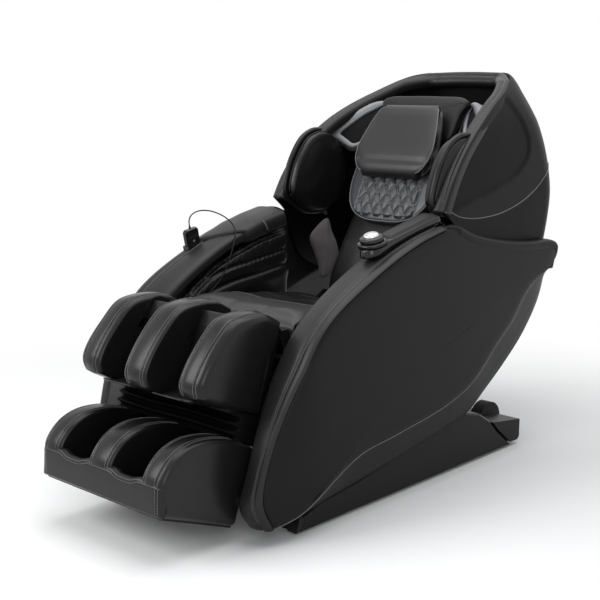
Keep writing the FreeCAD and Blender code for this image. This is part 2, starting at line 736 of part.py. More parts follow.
def slide_drive():
    """The carriage's drive on the base: a gearbox on the cross tube, a motor and the rod's tube."""
    y = CROSS_TUBES[1]
    z0 = RAIL_Z[0] + 24
    gearbox = block((-74, 20), (y - 20, y + 20), (z0, SLIDE_Z + 20))
    motor = prism(round_points(20, 16, (-50, SLIDE_Z + 2)), 0, at_y(y + 19), vec(0, 80, 0))
    tube = block((-TUBE_HALF, TUBE_HALF), SLIDE_TUBE, (SLIDE_Z - TUBE_HALF, SLIDE_Z + TUBE_HALF))
    half = ROD_R + RUNNING
    bore = block((-half, half), (SLIDE_TUBE[0] - 1, y + 24), (SLIDE_Z - half, SLIDE_Z + half))
    return gearbox.multiFuse([motor, tube]).cut(bore)


def slide_rod():
    """The push rod from inside the slide drive's tube to a flange on the carriage's front cross tube."""
    y0 = CARRIAGE_Y[0] + 30
    y1 = SLIDE_TUBE[0] + CARRIAGE_TRAVEL + ROD_HOLD
    rod = Part.makeCylinder(ROD_R, y1 - y0 - 5, vec(0, y0 + 5, SLIDE_Z), vec(0, 1, 0))
    return rod.fuse(block((-11, 11), (y0, y0 + 6), (SLIDE_Z - 12, SLIDE_Z + 12)))


def air_pump():
    """The air pump and valve box: a moulded box on a tray, a pump head and a row of outlets."""
    line = [(-110, 440), (110, 440), (110, 520), (100, 530), (-100, 530), (-110, 520)]
    box = prism(line, 0, at_z(34), vec(0, 0, 44))
    head = block((-82, -18), (455, 515), (77, 92))
    tray = block((-100, 100), (445, CROSS_TUBES[2] - 15), (34, 40))
    outlets = block((-84, 74), (432, 440), (54, 64))
    valves = block((10, 90), (455, 515), (77, 88))
    return box.multiFuse([head, tray, outlets, valves])


# The seat frame carries the cushion, arms, backrest hinge, knee hinge and two drives.
SEAT_RAIL_X = (212.0, 242.0)
SEAT_RAIL_Z = (395.0, 425.0)
SEAT_RAIL_Y = (-285.0, 235.0)


def seat_frame():
    x0, x1 = SEAT_RAIL_X
    z0, z1 = SEAT_RAIL_Z
    y0, y1 = SEAT_RAIL_Y
    pieces = [both(block(SEAT_RAIL_X, SEAT_RAIL_Y, SEAT_RAIL_Z))]
    for y in (y0 + 15, -50, y1 - 15):
        pieces.append(block((-x1, x1), (y - 15, y + 15), SEAT_RAIL_Z))
    for y in (-140, 90):
        pieces.append(both(block((x1 - 1, RIM - 1), (y - 15, y + 15), (z0, z1 - 4))))
        pieces.append(both(block((RIM - 7, ARM_OUTER - SHELL_WALL - 9), (y - 20, y + 20), (z0, 600))))
    py, pz = TILT_PIVOT
    leg = plate([(py - 30, pz + 4), (py - 18, pz - 22), (py + 18, pz - 22), (py + 26, pz + 20), (y1, z0 + 10),
                 (y1 - 95, z0 + 10)], 0, 188, 197)
    bore = bar(180, 205, TILT_PIVOT, PIN_R + RUNNING)
    pieces.append(both(leg.fuse(block((190, x0 + 1), (y1 - 80, y1), SEAT_RAIL_Z)).cut(bore)))
    ky, kz = LEG_PIVOT
    knee = plate([(y0 - 1, z0), (y0 + 30, z0), (y0 + 30, z1), (y0 + 8, z1 + 20), (ky + 13, kz + 9),
                  (ky - 13, kz + 9), (ky - 13, kz - 9)], 0, 214, 222)
    pieces += [both(knee), bar(-214, 214, LEG_PIVOT, PIN_R)]
    by, bz = RECLINE_PIVOT
    cheek = [(y1 - 40, z0), (y1 + 24, z0), (by + 18, bz + 18), (by - 18, bz + 18), (y1 - 40, z1)]
    cheek = plate(cheek, 0, 214, 224)
    pieces.append(both(cheek.fuse(bar(224, 239, RECLINE_PIVOT, PIN_R))))
    pieces.append(block((-ARM_CLEAR, 1 - x1), (-235, -209), (z1 - 4, z1)))
    ty, tz = TILT_PIN
    tab = [(ty - 9, tz - 9), (ty + 9, tz - 9), (ty + 15, z0 + 2), (ty - 15, z0 + 2)]
    pieces.append(lug(0, TILT_PIN, tab))
    x, (fy, fz) = drive_foot("leg")
    hanger = [(y0, z0 + 2), (-210, z0 + 2), (fy + 66, fz + 36), (fy + 4, fz - 6), (fy - 6, fz + 4)]
    pieces += [drive_seat("leg"), plate(hanger, 0, x + 21, x + 27), plate(hanger, 0, x - 27, x - 21)]
    x, (fy, fz) = drive_foot("recline")
    beam = block((-197, 197), (fy + 8, fy + 24), (fz - 40, fz + 6))
    arm = plate([(py - 6, pz - 18), (fy + 24, fz - 40), (fy + 24, fz + 6), (py - 6, pz + 40)], 0, 188, 197)
    pieces += [drive_seat("recline"), beam, both(arm)]
    return pieces[0].multiFuse(pieces[1:]).cut(both(bore)).removeSplitter()


def seat_ring(x, drop):
    top = [(-294, 536 - drop), (-285, 553 - drop), (-262, 556 - drop), (-160, 549 - drop), (40, 524 - drop),
           (212, 500 - drop)]
    return [vec(x, *p) for p in top + [(212, 434), (-245, 430), (-294, 505)]]


def seat_cushion():
    """The seat: dished across its width, drawn in at both sides, sloping to the back."""
    half = SEAT_WIDTH
    rows = ((-half, 26), (20 - half, 6), (-160, -2), (-70, 6),
            (70, 6), (160, -2), (half - 20, 6), (half, 26))
    return faceted([seat_ring(x, drop) for x, drop in rows])


# The backrest, in its own space: y counts back from the cushion's face, z up the slope.
CUSHION_DEPTH = 55.0


def back_cushion():
    """The back pad, with a shallow lumbar swell and drawn-in sides."""
    half = BACK_WIDTH
    rings = []
    for x, drop in ((-half, 26), (-half + 16, 6), (-80, 0), (80, 0), (half - 16, 6), (half, 26)):
        face = [(6, 44), (-8, 120), (-10, 240), (-3, 360), (0, 500), (2, 640), (10, 770)]
        rear = [vec(x, CUSHION_DEPTH, 770), vec(x, CUSHION_DEPTH, 44)]
        rings.append([vec(x, y + drop, z) for y, z in face] + rear)
    return in_back(faceted(rings))


def side_bolster():
    """A suede side pad at the hips, standing forward of the back pad."""
    line = [(188, 96), (222, 96), (256, 250), (256, 330), (200, 330), (188, 250)]
    return in_back(soft_pad(line, ((50, 3), (-12, 0), (-32, 12))))


def headrest_pad():
    line = [(-150, 616), (-134, 600), (134, 600), (150, 616),
            (142, 774), (126, 790), (-126, 790), (-142, 774)]
    return in_back(soft_pad(line, ((-11, 4), (-24, 0), (-36, 16))))


def quilt_pad():
    """The neck pad under the pillow, rounded at its foot."""
    line = [(-70, 316), (70, 316), (150, 356), (172, 430), (166, 500), (-166, 500), (-172, 430), (-150, 356)]
    return in_back(soft_pad(line, ((-12, 4), (-32, 0), (-46, 16))))


PILLOW_HINGE = (-52.0, 722.0)


def head_pillow():
    """The head pillow: a wide upper panel over a rounded lower roll, hung from its top edge."""
    line = [(-90, 708), (90, 708), (112, 690), (152, 566), (148, 546), (112, 462), (-112, 462), (-148, 546),
            (-152, 566), (-112, 690)]
    body = soft_pad(line, ((-50, 10), (-70, 0), (-84, 6), (-93, 22)))
    roll = [(-50, 474), (-62, 463), (-82, 463), (-97, 475), (-97, 494), (-84, 506), (-60, 506), (-50, 494)]
    roll = soft_pad(roll, ((-112, 9), (-98, 0), (98, 0), (112, 9)), at_x)
    flap = plate([(-56, 690), (-50, 690), (-47, 722), (-56, 724)], 0, -90, 90)
    return in_back(body.fuse([roll, flap]))


def shoulder_pad():
    """An egg-shaped side wing inside the hood, swelling towards the sitter."""
    egg = [(236, 812), (248, 880), (278, 938), (318, 982), (372, 1003), (430, 992), (474, 950), (500, 890),
           (496, 826), (457, 772), (410, 750), (350, 748), (290, 766)]
    x1 = HOOD_OUTER - HOOD_LINING
    pad = soft_pad(egg, ((x1, 6), (x1 - 37, 0), (x1 - 55, 8), (x1 - 65, 26)), at_x)
    band = front_ribbon(BAND_DEPTH + GAP, 60).cut(hood_stack(HOOD_BAND + GAP))
    return pad.common(hood_stack(HOOD_LINING + GAP)).cut(band)


def speaker():
    """A triangular speaker pod beside the headrest: a raised frame round a barred front."""
    line = [(-292, 606), (-246, 574), (-158, 690), (-160, 742), (-200, 752)]
    body = soft_pad(line, ((30, 4), (-6, 0), (-12, 3))).cut(block((-186, -100), (0, 60), (500, 800)))
    recess = prism(inset(line, 14), 0, at_y(-6), vec(0, -10, 0))
    opening = prism(inset(line, 13), 0, at_y(-5.5), vec(0, -3.5, 0))
    bars = [opening.common(block((-300, -150), (-9, -5.5), (z, z + 4))) for z in range(594, 736, 20)]
    return in_back(body.cut(recess).multiFuse(bars))


# The hood: the backrest's moulded shell, cut to its side profile. Each plan level is its height, how far
# each side is drawn in, its rear and its corner radius.
HOOD_FRONT = along([(222, 806), (308, 936), (454, 1054), (651, 1147), (755, 1190)], 9)
HOOD_TOP = [(785, 1203), (830, 1214), (900, 1214), (900, 505)]
HOOD_LOW = [(730, 505), (560, 515), (340, 600), (290, 735)]
HOOD_PLAN = ((300, 0, 640, 60), (486, 0, 722, 60), (650, 0, 815, 66), (806, 0, 858, 72), (880, 3, 866, 90),
             (970, 15, 868, 115), (1052, 31, 866, 150), (1104, 55, 858, 165), (1147, 83, 847, 150),
             (1178, 113, 836, 110), (1200, 140, 824, 80), (1211, 165, 812, 60))
HOOD_MOUTH = 100.0
HOOD_CORNER_STEPS = 4
BAND_DEPTH = 34.0


def hood_stack(draw):
    """The hood's side walls, crown and round rear corners as a solid block, drawn in by a distance."""
    arch = [(HOOD_OUTER - taken, z) for z, taken, _, _ in HOOD_PLAN]
    arch = inset(arch + [(-w, z) for w, z in arch[::-1]], draw)
    rings = []
    for (w, z), (_, _, rear, corner) in zip(arch, HOOD_PLAN):
        r = max(corner - draw, 10)
        side = [(w, HOOD_MOUTH)]
        for i in range(HOOD_CORNER_STEPS + 1):
            turn = math.pi / 2 * i / HOOD_CORNER_STEPS
            side.append((w - r + r * math.cos(turn), rear - draw - r + r * math.sin(turn)))
        rings.append([vec(x, y, z) for x, y in side] + [vec(-x, y, z) for x, y in side[::-1]])
    return faceted(rings)


def hood_form(draw):
    """The hood's outer form drawn in by a distance."""
    profile = HOOD_FRONT + HOOD_TOP + HOOD_LOW
    return plate(inset(profile, draw), 0, -HOOD_OUTER, HOOD_OUTER).common(hood_stack(draw))


def hood_shell():
    """The moulded back shell: two side walls, a rear wall and a crown, open in front and below."""
    return hood_form(0).cut([hood_stack(HOOD_WALL), front_ribbon(BAND_DEPTH + GAP, 60)])


def front_ribbon(depth, clear):
    """A cut across the hood that follows its front curve."""
    n = len(HOOD_FRONT)
    back, fore = [], []
    for i, (y, z) in enumerate(HOOD_FRONT):
        a, b = HOOD_FRONT[max(i - 1, 0)], HOOD_FRONT[min(i + 1, n - 1)]
        run = math.hypot(b[0] - a[0], b[1] - a[1])
        ny, nz = (b[1] - a[1]) / run, -(b[0] - a[0]) / run
        back.append((y + ny * depth, z + nz * depth))
        fore.append((y - ny * clear, z - nz * clear))
    heel = [(back[0][0] - 10, back[0][1] - 60), (fore[0][0] - 20, back[0][1] - 60)]
    crown = [(back[-1][0] + 40, back[-1][1] + 90), (fore[-1][0] - 20, back[-1][1] + 90)]
    return plate(back + crown + fore[::-1] + heel[::-1], 0, -HOOD_OUTER - 1, HOOD_OUTER + 1)


def hood_band():
    """The front trim of the hood: a band up both sides and over the top."""
    return hood_form(0).common(front_ribbon(BAND_DEPTH, 60)).cut(hood_stack(HOOD_BAND))


def hood_lining():
    """The padded inside of the hood: side walls and crown between the band and the back pad."""
    line = [(330, 778), (466, 716), (650, 1062), (760, 1100), (760, 1170), (640, 1170), (560, 1182),
            (300, 880)]
    pad = plate(line, 0, -HOOD_OUTER, HOOD_OUTER).common(hood_form(HOOD_WALL + GAP))
    return pad.cut([front_ribbon(BAND_DEPTH + 2 * GAP, 90), hood_stack(HOOD_LINING)])


# The massage drive behind the back pad, in backrest space.
MECH_AXIS = (128.0, 350.0)
RAIL_ROD_Y = 128.0
RAIL_ROD_X = 150.0
RAIL_ROD_R = 7.0
UPPER_AXLE = (92.0, 416.0)
LOWER_AXLE = (92.0, 284.0)


def back_frame():
    """Two upright tubes, three cross tubes, hinge plates and the recline drive's lug."""
    pieces = [both(block((196, 222), (85, 115), (30, 700)))]
    for z in (40, 668):
        pieces.append(block((-222, 222), (90, 115), (z, z + 26)))
    frame = in_back(pieces[0].multiFuse(pieces[1:]))
    by, bz = RECLINE_PIVOT
    root = spun((100, 70), BACK_SLOPE)
    root = (root[0] + BACK_FOOT[0], root[1] + BACK_FOOT[1])
    hinge = plate([(by - 19, bz - 12), (by + 10, bz - 19), (root[0] + 16, root[1] - 34),
                   (root[0] + 22, root[1] + 20), (root[0] - 22, root[1] + 30), (by - 14, bz + 17)],
                  0, 226.4, 234)
    hinge = hinge.fuse(in_back(block((220, 228), (88, 112), (40, 120))))
    bore = bar(220, 240, RECLINE_PIVOT, PIN_R + RUNNING)
    x, pin = DRIVES["recline"][0:2]
    low = spun((100, 53), BACK_SLOPE)
    low = (low[0] + BACK_FOOT[0], low[1] + BACK_FOOT[1])
    tab = [(pin[0] - 8, pin[1] - 7), (pin[0] + 6, pin[1] - 8), (low[0] + 8, low[1] - 12),
           (low[0] + 4, low[1] + 12), (low[0] - 10, low[1] + 8), (pin[0] - 8, pin[1] + 8)]
    return frame.multiFuse([both(hinge.cut(bore)), lug(x, pin, tab)])


def guide_rails():
    """Two round rails between end blocks on the back frame's cross tubes."""
    blocks = [block((RAIL_ROD_X - 14, RAIL_ROD_X + 14), (115, 144), (z, z + 22)) for z in (43, 670)]
    z0 = MECH_AXIS[1] + MECH_TRAVEL[0] - 138
    z1 = MECH_AXIS[1] + MECH_TRAVEL[1] + 132
    rail = Part.makeCylinder(RAIL_ROD_R, z1 - z0, vec(RAIL_ROD_X, RAIL_ROD_Y, z0), vec(0, 0, 1))
    return in_back(both(rail.multiFuse(blocks)))


def roller_carriage():
    """The housing that climbs the rails: guided ends, two motor boxes and ears for the arm shaft."""
    z = MECH_AXIS[1]
    body = block((-128, 128), (150, 164), (z - 62, z - 18))
    ends = both(block((127, RAIL_ROD_X + 15), (RAIL_ROD_Y - 13, RAIL_ROD_Y + 13), (z - 60, z + 30)))
    motors = both(block((14, 104), (163, 186), (z - 60, z - 22)))
    ears = both(block((117, 128), (114, 152), (z - 60, z + 16)))
    shaft = bar(-140, 140, MECH_AXIS, ROD_R + RUNNING)
    half = RAIL_ROD_R + RUNNING
    x, y = RAIL_ROD_X, RAIL_ROD_Y
    rails = block((x - half, x + half), (y - half, y + half), (z - 90, z + 60))
    return in_back(body.multiFuse([ends, motors, ears]).cut([shaft, both(rails)]))


def massage_arms():
    """The kneading shaft and its two bent arms, each end forked over a roller axle."""
    z = MECH_AXIS[1]
    y, top = UPPER_AXLE
    upper = [(MECH_AXIS[0] + 14, z + 10), (y + 14, top + 12), (y - 10, top + 12), (y - 10, top - 12),
             (MECH_AXIS[0] - 16, z)]
    lower = [(y, 2 * z - h) for y, h in upper[::-1]][1:]
    arms = []
    for x in (-80, 72):
        arm = plate(upper + lower, 0, x, x + 8)
        for axle in (UPPER_AXLE, LOWER_AXLE):
            half = EYE_PIN_R + RUNNING
            slot = block((x - 1, x + 9), (axle[0] - half, axle[0] + 20), (axle[1] - half, axle[1] + half))
            arm = arm.cut(slot)
        arms.append(arm)
    return in_back(bar(-127, 127, MECH_AXIS, ROD_R).multiFuse(arms))


def roller_pair(axle):
    """Two rollers on one axle, outboard of the arms."""
    rollers = both(plate(round_points(ROLLER_R, 20, axle), 0, 84, 84 + ROLLER_WIDTH))
    return in_back(rollers.fuse(plate(round_points(EYE_PIN_R, 12, axle), 0, -84, 84)))


# The legrest, in its own space: the knee pivot is the origin, the shins run down (-z), front is -y.
CALF_SHELL = {"front": -140.0, "rear": -26.0, "top": 7.0, "foot": -238.0}
LOBE_SIDE = 18.0
SLEEVE_X = 100.0
SLEEVE_Y = -46.0
SLEEVE_Z = (-226.0, -21.0)


def calf_shell():
    """The calf section's body: a box open below, slotted for the hinge arms."""
    s = CALF_SHELL
    half = LEG_WIDTH - LOBE_SIDE
    outer = block((-half, half), (s["front"], s["rear"]), (s["foot"], s["top"]))
    room = block((8 - half, half - 8), (s["front"] + 12, s["rear"] - 5), (s["foot"] - 1, s["top"] - 8))
    slot = block((148, 182), (-62, -20), (-62, 20))
    drive_slot = block((60, 100), (-40, -20), (-150, -10))
    return in_leg(outer.cut([room, drive_slot, both(slot)]))


CALF_CREST = along([(-34, 34), (-101, 40), (-178, 16), (-222, -13), (-252, -65), (-282, -153), (-284, -205),
                    (-262, -234)], 13)


def calf_pad(rows, rear):
    """A padded wall of the calf section, in front of the shell or with its rear edge behind it."""
    front, top = CALF_SHELL["front"], CALF_SHELL["top"]
    line = CALF_CREST + [(-200, -242), (rear, -240)]
    if rear <= front:
        line += [(front, top), (CALF_CREST[0][0], top)]
    return soft_pad(line, rows, at_x)


def side_calf_lobe():
    """An outer lobe: its outermost part runs back over the shell's side."""
    x0, x1 = CHANNEL_OUT, LEG_WIDTH
    corner = x1 - LOBE_SIDE
    ridge = calf_pad(((x0, 8), (x0 + 14, 1), (x0 + 40, 0), (corner, 2)), CALF_SHELL["front"])
    side = calf_pad(((corner, 2), (x1, 16)), CALF_CREST[0][0])
    return in_leg(ridge.fuse(side))


def middle_calf_lobe():
    x1 = CHANNEL_IN
    return in_leg(calf_pad(((-x1, 9), (-x1 + 14, 1), (x1 - 14, 1), (x1, 9)), CALF_SHELL["front"]))


def leg_frame():
    """Two sleeves for the foot rods, tie bars, hinge knuckles on the knee rod and the drive's lug."""
    low, high = SLEEVE_Z
    sleeve = block((SLEEVE_X - 12, SLEEVE_X + 12), (SLEEVE_Y - 12, SLEEVE_Y + 12), SLEEVE_Z)
    half = ROD_R + RUNNING
    x, y = SLEEVE_X, SLEEVE_Y
    room = block((x - half, x + half), (y - half, y + half), (low - 1, high + 1))
    pieces = [both(sleeve)]
    pieces.append(block((-186, 186), (-58, -36), (-50, -24)))
    pieces.append(block((-186, 186), (-58, -36), (low + 2, low + 26)))
    knuckle = plate([(-14, -8), (-8, 14), (8, 14), (14, 8), (14, -8), (8, -14), (-38, -50), (-50, -50),
                     (-50, -24)], 0, 150, 180)
    bore = bar(140, 190, (0, 0), PIN_R + RUNNING)
    pieces.append(both(knuckle))
    x = DRIVES["leg"][0]
    y, z = LEG_PIN_AT
    tab = [(y - 8, z - 8), (y + 8, z - 8), (y + 8, z + 8), (-37, -26), (-50, -30), (-50, -48)]
    pieces.append(lug(x, LEG_PIN_AT, tab))
    return in_leg(pieces[0].multiFuse(pieces[1:]).cut([both(room), both(bore)]))


FOOT_TOP = -308.0
FOOT_ROD_LOW = -355.0
SOLE = -496.0
ROLLER_AXIS = (-170.0, -508.0)
FOOT_ROLLER_R = 17.0


def foot_shell():
    """The foot section's body: a rear wall and a sole, with troughs for the rollers."""
    half = LEG_WIDTH - LOBE_SIDE
    rear = plate([(-60, -518), (-60, FOOT_TOP + 12), (-22, FOOT_TOP + 12), (-22, -518)], 0, -half, half)
    sole = plate([(-24, SOLE), (-291, SOLE), (-291, -523), (-285, -529), (-30, -529)], 0, -half, half)
    body = rear.fuse(sole)
    y, z = ROLLER_AXIS
    troughs = both(block((CHANNEL_IN + 12, WELL_OUT - 10), (y - 21, y + 21), (z - 20, SOLE + 1)))
    groove = block((-WELL_OUT - 4, WELL_OUT + 4), (y - 5.2, y + 5.2), (z - 5.2, SOLE + 1))
    fit = ROD_R + RUNNING
    x, y = SLEEVE_X, SLEEVE_Y
    rods = both(block((x - fit, x + fit), (y - fit, y + fit), (FOOT_ROD_LOW, -290)))
    return in_leg(body.cut([troughs, groove, rods]))


def foot_rods():
    """The two guide rods that carry the foot section, sliding in the leg frame's sleeves."""
    top = SLEEVE_Z[0] + FOOT_TRAVEL + 51
    foot = vec(SLEEVE_X, SLEEVE_Y, FOOT_ROD_LOW)
    rod = Part.makeCylinder(ROD_R, top - FOOT_ROD_LOW, foot, vec(0, 0, 1))
    return in_leg(both(rod))


def foot_apron():
    """The padded front wall of the foot section, from the toes down over the sole's front edge."""
    line = [(-291, -525), (-301, -517), (-312, -482), (-319, -462), (-320, -450), (-313, -440), (-300, -437),
            (-287, -440), (-286, SOLE), (-291, SOLE)]
    half = LEG_WIDTH
    return in_leg(soft_pad(line, ((-half, 5), (-half + 14, 0), (half - 14, 0), (half, 5)), at_x))


FOOT_CREST = along([(-284, -437), (-300, -418), (-292, -372), (-236, -326), (-151, -302), (-62, -306)], 11)


def side_foot_lobe():
    """An outer lobe: its outermost part runs back and down over the shell's side."""
    x0, x1 = WELL_OUT, LEG_WIDTH
    ridge = FOOT_CREST + [(-61, SOLE), (-284, SOLE)]
    ridge = soft_pad(ridge, ((x0, 12), (x0 + 14, 2), (x0 + 40, 0), (x1 - LOBE_SIDE, 4)), at_x)
    side = FOOT_CREST + [(-26, -304), (-26, -526), (-284, -526)]
    return in_leg(ridge.fuse(soft_pad(side, ((x1 - LOBE_SIDE, 4), (x1, 14)), at_x)))


def middle_foot_lobe():
    x1 = CHANNEL_IN + 2
    line = FOOT_CREST + [(-61, SOLE), (-284, SOLE)]
    return in_leg(soft_pad(line, ((-x1, 11), (-x1 + 14, 1), (x1 - 14, 1), (x1, 11)), at_x))


def foot_rollers():
    """The sole rollers: a hexagonal shaft with a roller in each foot well."""
    rollers = both(plate(round_points(FOOT_ROLLER_R, 20, ROLLER_AXIS), 0, CHANNEL_IN + 15, WELL_OUT - 13))
    return in_leg(rollers.fuse(plate(round_points(EYE_PIN_R, 6, ROLLER_AXIS), 0, -WELL_OUT, WELL_OUT)))


def pair(name, shape):
    """A left piece on the sitter's left (+X) and its mirror image on the right."""
    return {name + "_left": shape, name + "_right": mirrored(shape)}


def nodes():
    out = {
        "base_frame": base_frame(),
        "base_feet": base_feet(),
        "base_covers": both(base_cover()),
        "rear_cover": rear_cover(),
        "power_inlet": power_inlet(),
        "power_switch": power_switch(),
        "transport_wheels": transport_wheels(),
        "slide_drive": slide_drive(),
        "air_pump": air_pump(),
        "carriage_frame": carriage_frame(),
        "slide_rod": slide_rod(),
        "seat_frame": seat_frame(),
        "seat_cushion": seat_cushion(),
        "arm_linings": both(arm_lining()),
        "arm_console": arm_console().cut(arm_top()),
        "control_knob": control_knob(),
        "handset_dock": handset_dock(),
        "handset_case": handset_case(),
        "handset_screen": handset_screen(),
        "handset_key": handset_key(),
        "cord_sleeves": cord_sleeves(),
        "handset_cord": cord_tube(),
        "back_frame": back_frame(),
        "guide_rails": guide_rails(),
        "back_cushion": back_cushion(),
        "side_bolsters": both(side_bolster()),
        "headrest_pad": headrest_pad(),
        "quilt_pad": quilt_pad(),
        "head_pillow": head_pillow(),
        "hood_shell": hood_shell(),
        "hood_band": hood_band(),
        "hood_lining": hood_lining(),
        "shoulder_pads": both(shoulder_pad()),
        "speakers": both(speaker()),
        "roller_carriage": roller_carriage(),
        "massage_arms": massage_arms(),
        "upper_rollers": roller_pair(UPPER_AXLE),
        "lower_rollers": roller_pair(LOWER_AXLE),
        "leg_frame": leg_frame(),
        "calf_shell": calf_shell(),
        "calf_lobe_middle": middle_calf_lobe(),
        "foot_shell": foot_shell(),
        "foot_rods": foot_rods(),
        "foot_apron": foot_apron(),
        "foot_lobe_middle": middle_foot_lobe(),
        "foot_rollers": foot_rollers(),
    }
    for name in DRIVES:
        out[name + "_drive"], out[name + "_rod"] = drive_pieces(name)
    for name, shape in (("arm_shell", arm_shell()), ("arm_top", arm_top())):
        out[name + "_left"] = shape
        out[name + "_right"] = mirrored(shape).cut(dock_room())
    out.update(pair("calf_lobe", side_calf_lobe()))
    out.update(pair("foot_lobe", side_foot_lobe()))
    return out


def main():
    os.makedirs("parts", exist_ok=True)
    for name, shape in nodes().items():
        if not shape.isValid():
            print("CHECK", name)
        shape.translated(vec(0, -DATUM_Y, 0)).exportStep("parts/" + name + ".step")


main()
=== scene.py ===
import bpy
import bmesh
import json
import math
import numpy as np
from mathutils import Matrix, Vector
from mathutils.bvhtree import BVHTree
from mathutils.kdtree import KDTree


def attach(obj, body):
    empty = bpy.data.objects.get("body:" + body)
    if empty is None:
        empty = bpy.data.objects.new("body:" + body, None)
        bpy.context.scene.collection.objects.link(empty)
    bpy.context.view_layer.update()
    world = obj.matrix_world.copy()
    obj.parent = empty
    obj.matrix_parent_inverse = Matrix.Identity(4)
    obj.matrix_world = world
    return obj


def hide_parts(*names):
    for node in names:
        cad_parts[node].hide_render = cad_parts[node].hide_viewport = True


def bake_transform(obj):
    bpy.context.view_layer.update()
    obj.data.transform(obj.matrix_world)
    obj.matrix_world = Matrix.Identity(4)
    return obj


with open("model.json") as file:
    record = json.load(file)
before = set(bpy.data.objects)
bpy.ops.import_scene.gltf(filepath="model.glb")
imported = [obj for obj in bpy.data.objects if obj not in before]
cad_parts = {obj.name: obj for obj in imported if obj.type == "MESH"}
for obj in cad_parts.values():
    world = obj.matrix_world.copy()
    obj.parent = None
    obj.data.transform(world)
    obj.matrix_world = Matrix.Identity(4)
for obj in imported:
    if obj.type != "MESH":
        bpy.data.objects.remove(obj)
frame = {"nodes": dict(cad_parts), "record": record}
nodes = frame["nodes"]
scene = bpy.context.scene
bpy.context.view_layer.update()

# Sizes are in millimetres, as the chair is measured, and become metres when a mesh is made. Outlines seen
# from the side are lists of (y, z) points, y counted from a line 42 mm in front of the origin.
MM = 0.001
DATUM = np.array((0.0, 42.0, 0.0))

# Places across the chair, from its middle: the arm's outer face and inner face, and its side panel's rim.
ARM_OUTER = 385.0
ARM_CLEAR = 262.0
RIM = 350.0

# Slopes and pivots of the backrest and the legrest.
BACK_FOOT = (250.0, 450.0)
BACK_SLOPE = 28.0
LEG_PIVOT = (-318.0, 520.0)
LEG_SLOPE = 21.0


# The camera fitted to the photograph: its lens in millimetres, its place in metres, its turns in degrees.
LENS = 67.88
SENSOR = 36
EYE = (2.2537, -2.4959, 1.1785)
LOOK_DOWN = 10.92
LOOK_ROUND = 42.79


def camera():
    data = bpy.data.cameras.new("camera")
    data.lens = LENS
    data.sensor_width = SENSOR
    eye = bpy.data.objects.new("camera", data)
    eye.location = EYE
    eye.rotation_euler = (math.radians(90 - LOOK_DOWN), 0, math.radians(LOOK_ROUND))
    scene.collection.objects.link(eye)
    scene.camera = eye


camera()


# The handset's cord: its route's corner points, in line with its sleeves at both ends.
CORD_ROUTE = [(-363, -131.06, 740.73), (-363, -134.59, 757.36), (-361, -124, 776), (-352, -101, 787),
              (-338, -66, 785), (-318, -30, 768), (-294, -14, 745), (-272, -19, 722), (-257, -38, 700),
              (-253, -54, 668), (-253, -70, 632), (-254.5, -91, 595), (-256, -121, 564),
              (-256.5, -160, 541), (-256.5, -195, 510), (-256.5, -216, 474), (-256.5, -222, 450),
              (-256.5, -222, 434)]


CORD_THICK = 4.0


def cord():
    """The handset's lead. A curve's box grows by the radius of its points, so they hold the cord's own
    radius and the bevel is 1."""
    data = bpy.data.curves.new("handset_lead", "CURVE")
    data.dimensions = "3D"
    line = data.splines.new("NURBS")
    line.points.add(len(CORD_ROUTE) - 1)
    for point, place in zip(line.points, (np.array(CORD_ROUTE) - DATUM) * MM):
        point.co = (*place, 1)
        point.radius = CORD_THICK / 2 * MM
    line.order_u = 3
    line.use_endpoint_u = True
    line.resolution_u = 8
    data.bevel_depth = 1.0
    data.bevel_resolution = 3
    data.use_fill_caps = True
    made = bpy.data.objects.new("handset_lead", data)
    scene.collection.objects.link(made)
    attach(made, "seat")
    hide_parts("handset_cord")
    return made


lead = cord()


# Shader maths

class Socket:
    """A node's output that ordinary arithmetic works on."""

    def __init__(self, finish, link):
        self.finish = finish
        self.link = link

    def math(self, operation, *values):
        return self.finish.node("ShaderNodeMath", {"operation": operation}, dict(enumerate(values)))

    def __add__(self, other):
        return self.math("ADD", self, other)

    def __sub__(self, other):
        return self.math("SUBTRACT", self, other)

    def __rsub__(self, other):
        return self.math("SUBTRACT", other, self)

    def __mul__(self, other):
        return self.math("MULTIPLY", self, other)

    def __truediv__(self, other):
        return self.math("DIVIDE", self, other)

    def __rtruediv__(self, other):
        return self.math("DIVIDE", other, self)

    __radd__ = __add__
    __rmul__ = __mul__

    def step(self, low, high):
        """0 below low, 1 above high, smooth between."""
        values = {"Value": self, "From Min": low, "From Max": high}
        return self.finish.node("ShaderNodeMapRange", {"interpolation_type": "SMOOTHSTEP"}, values)


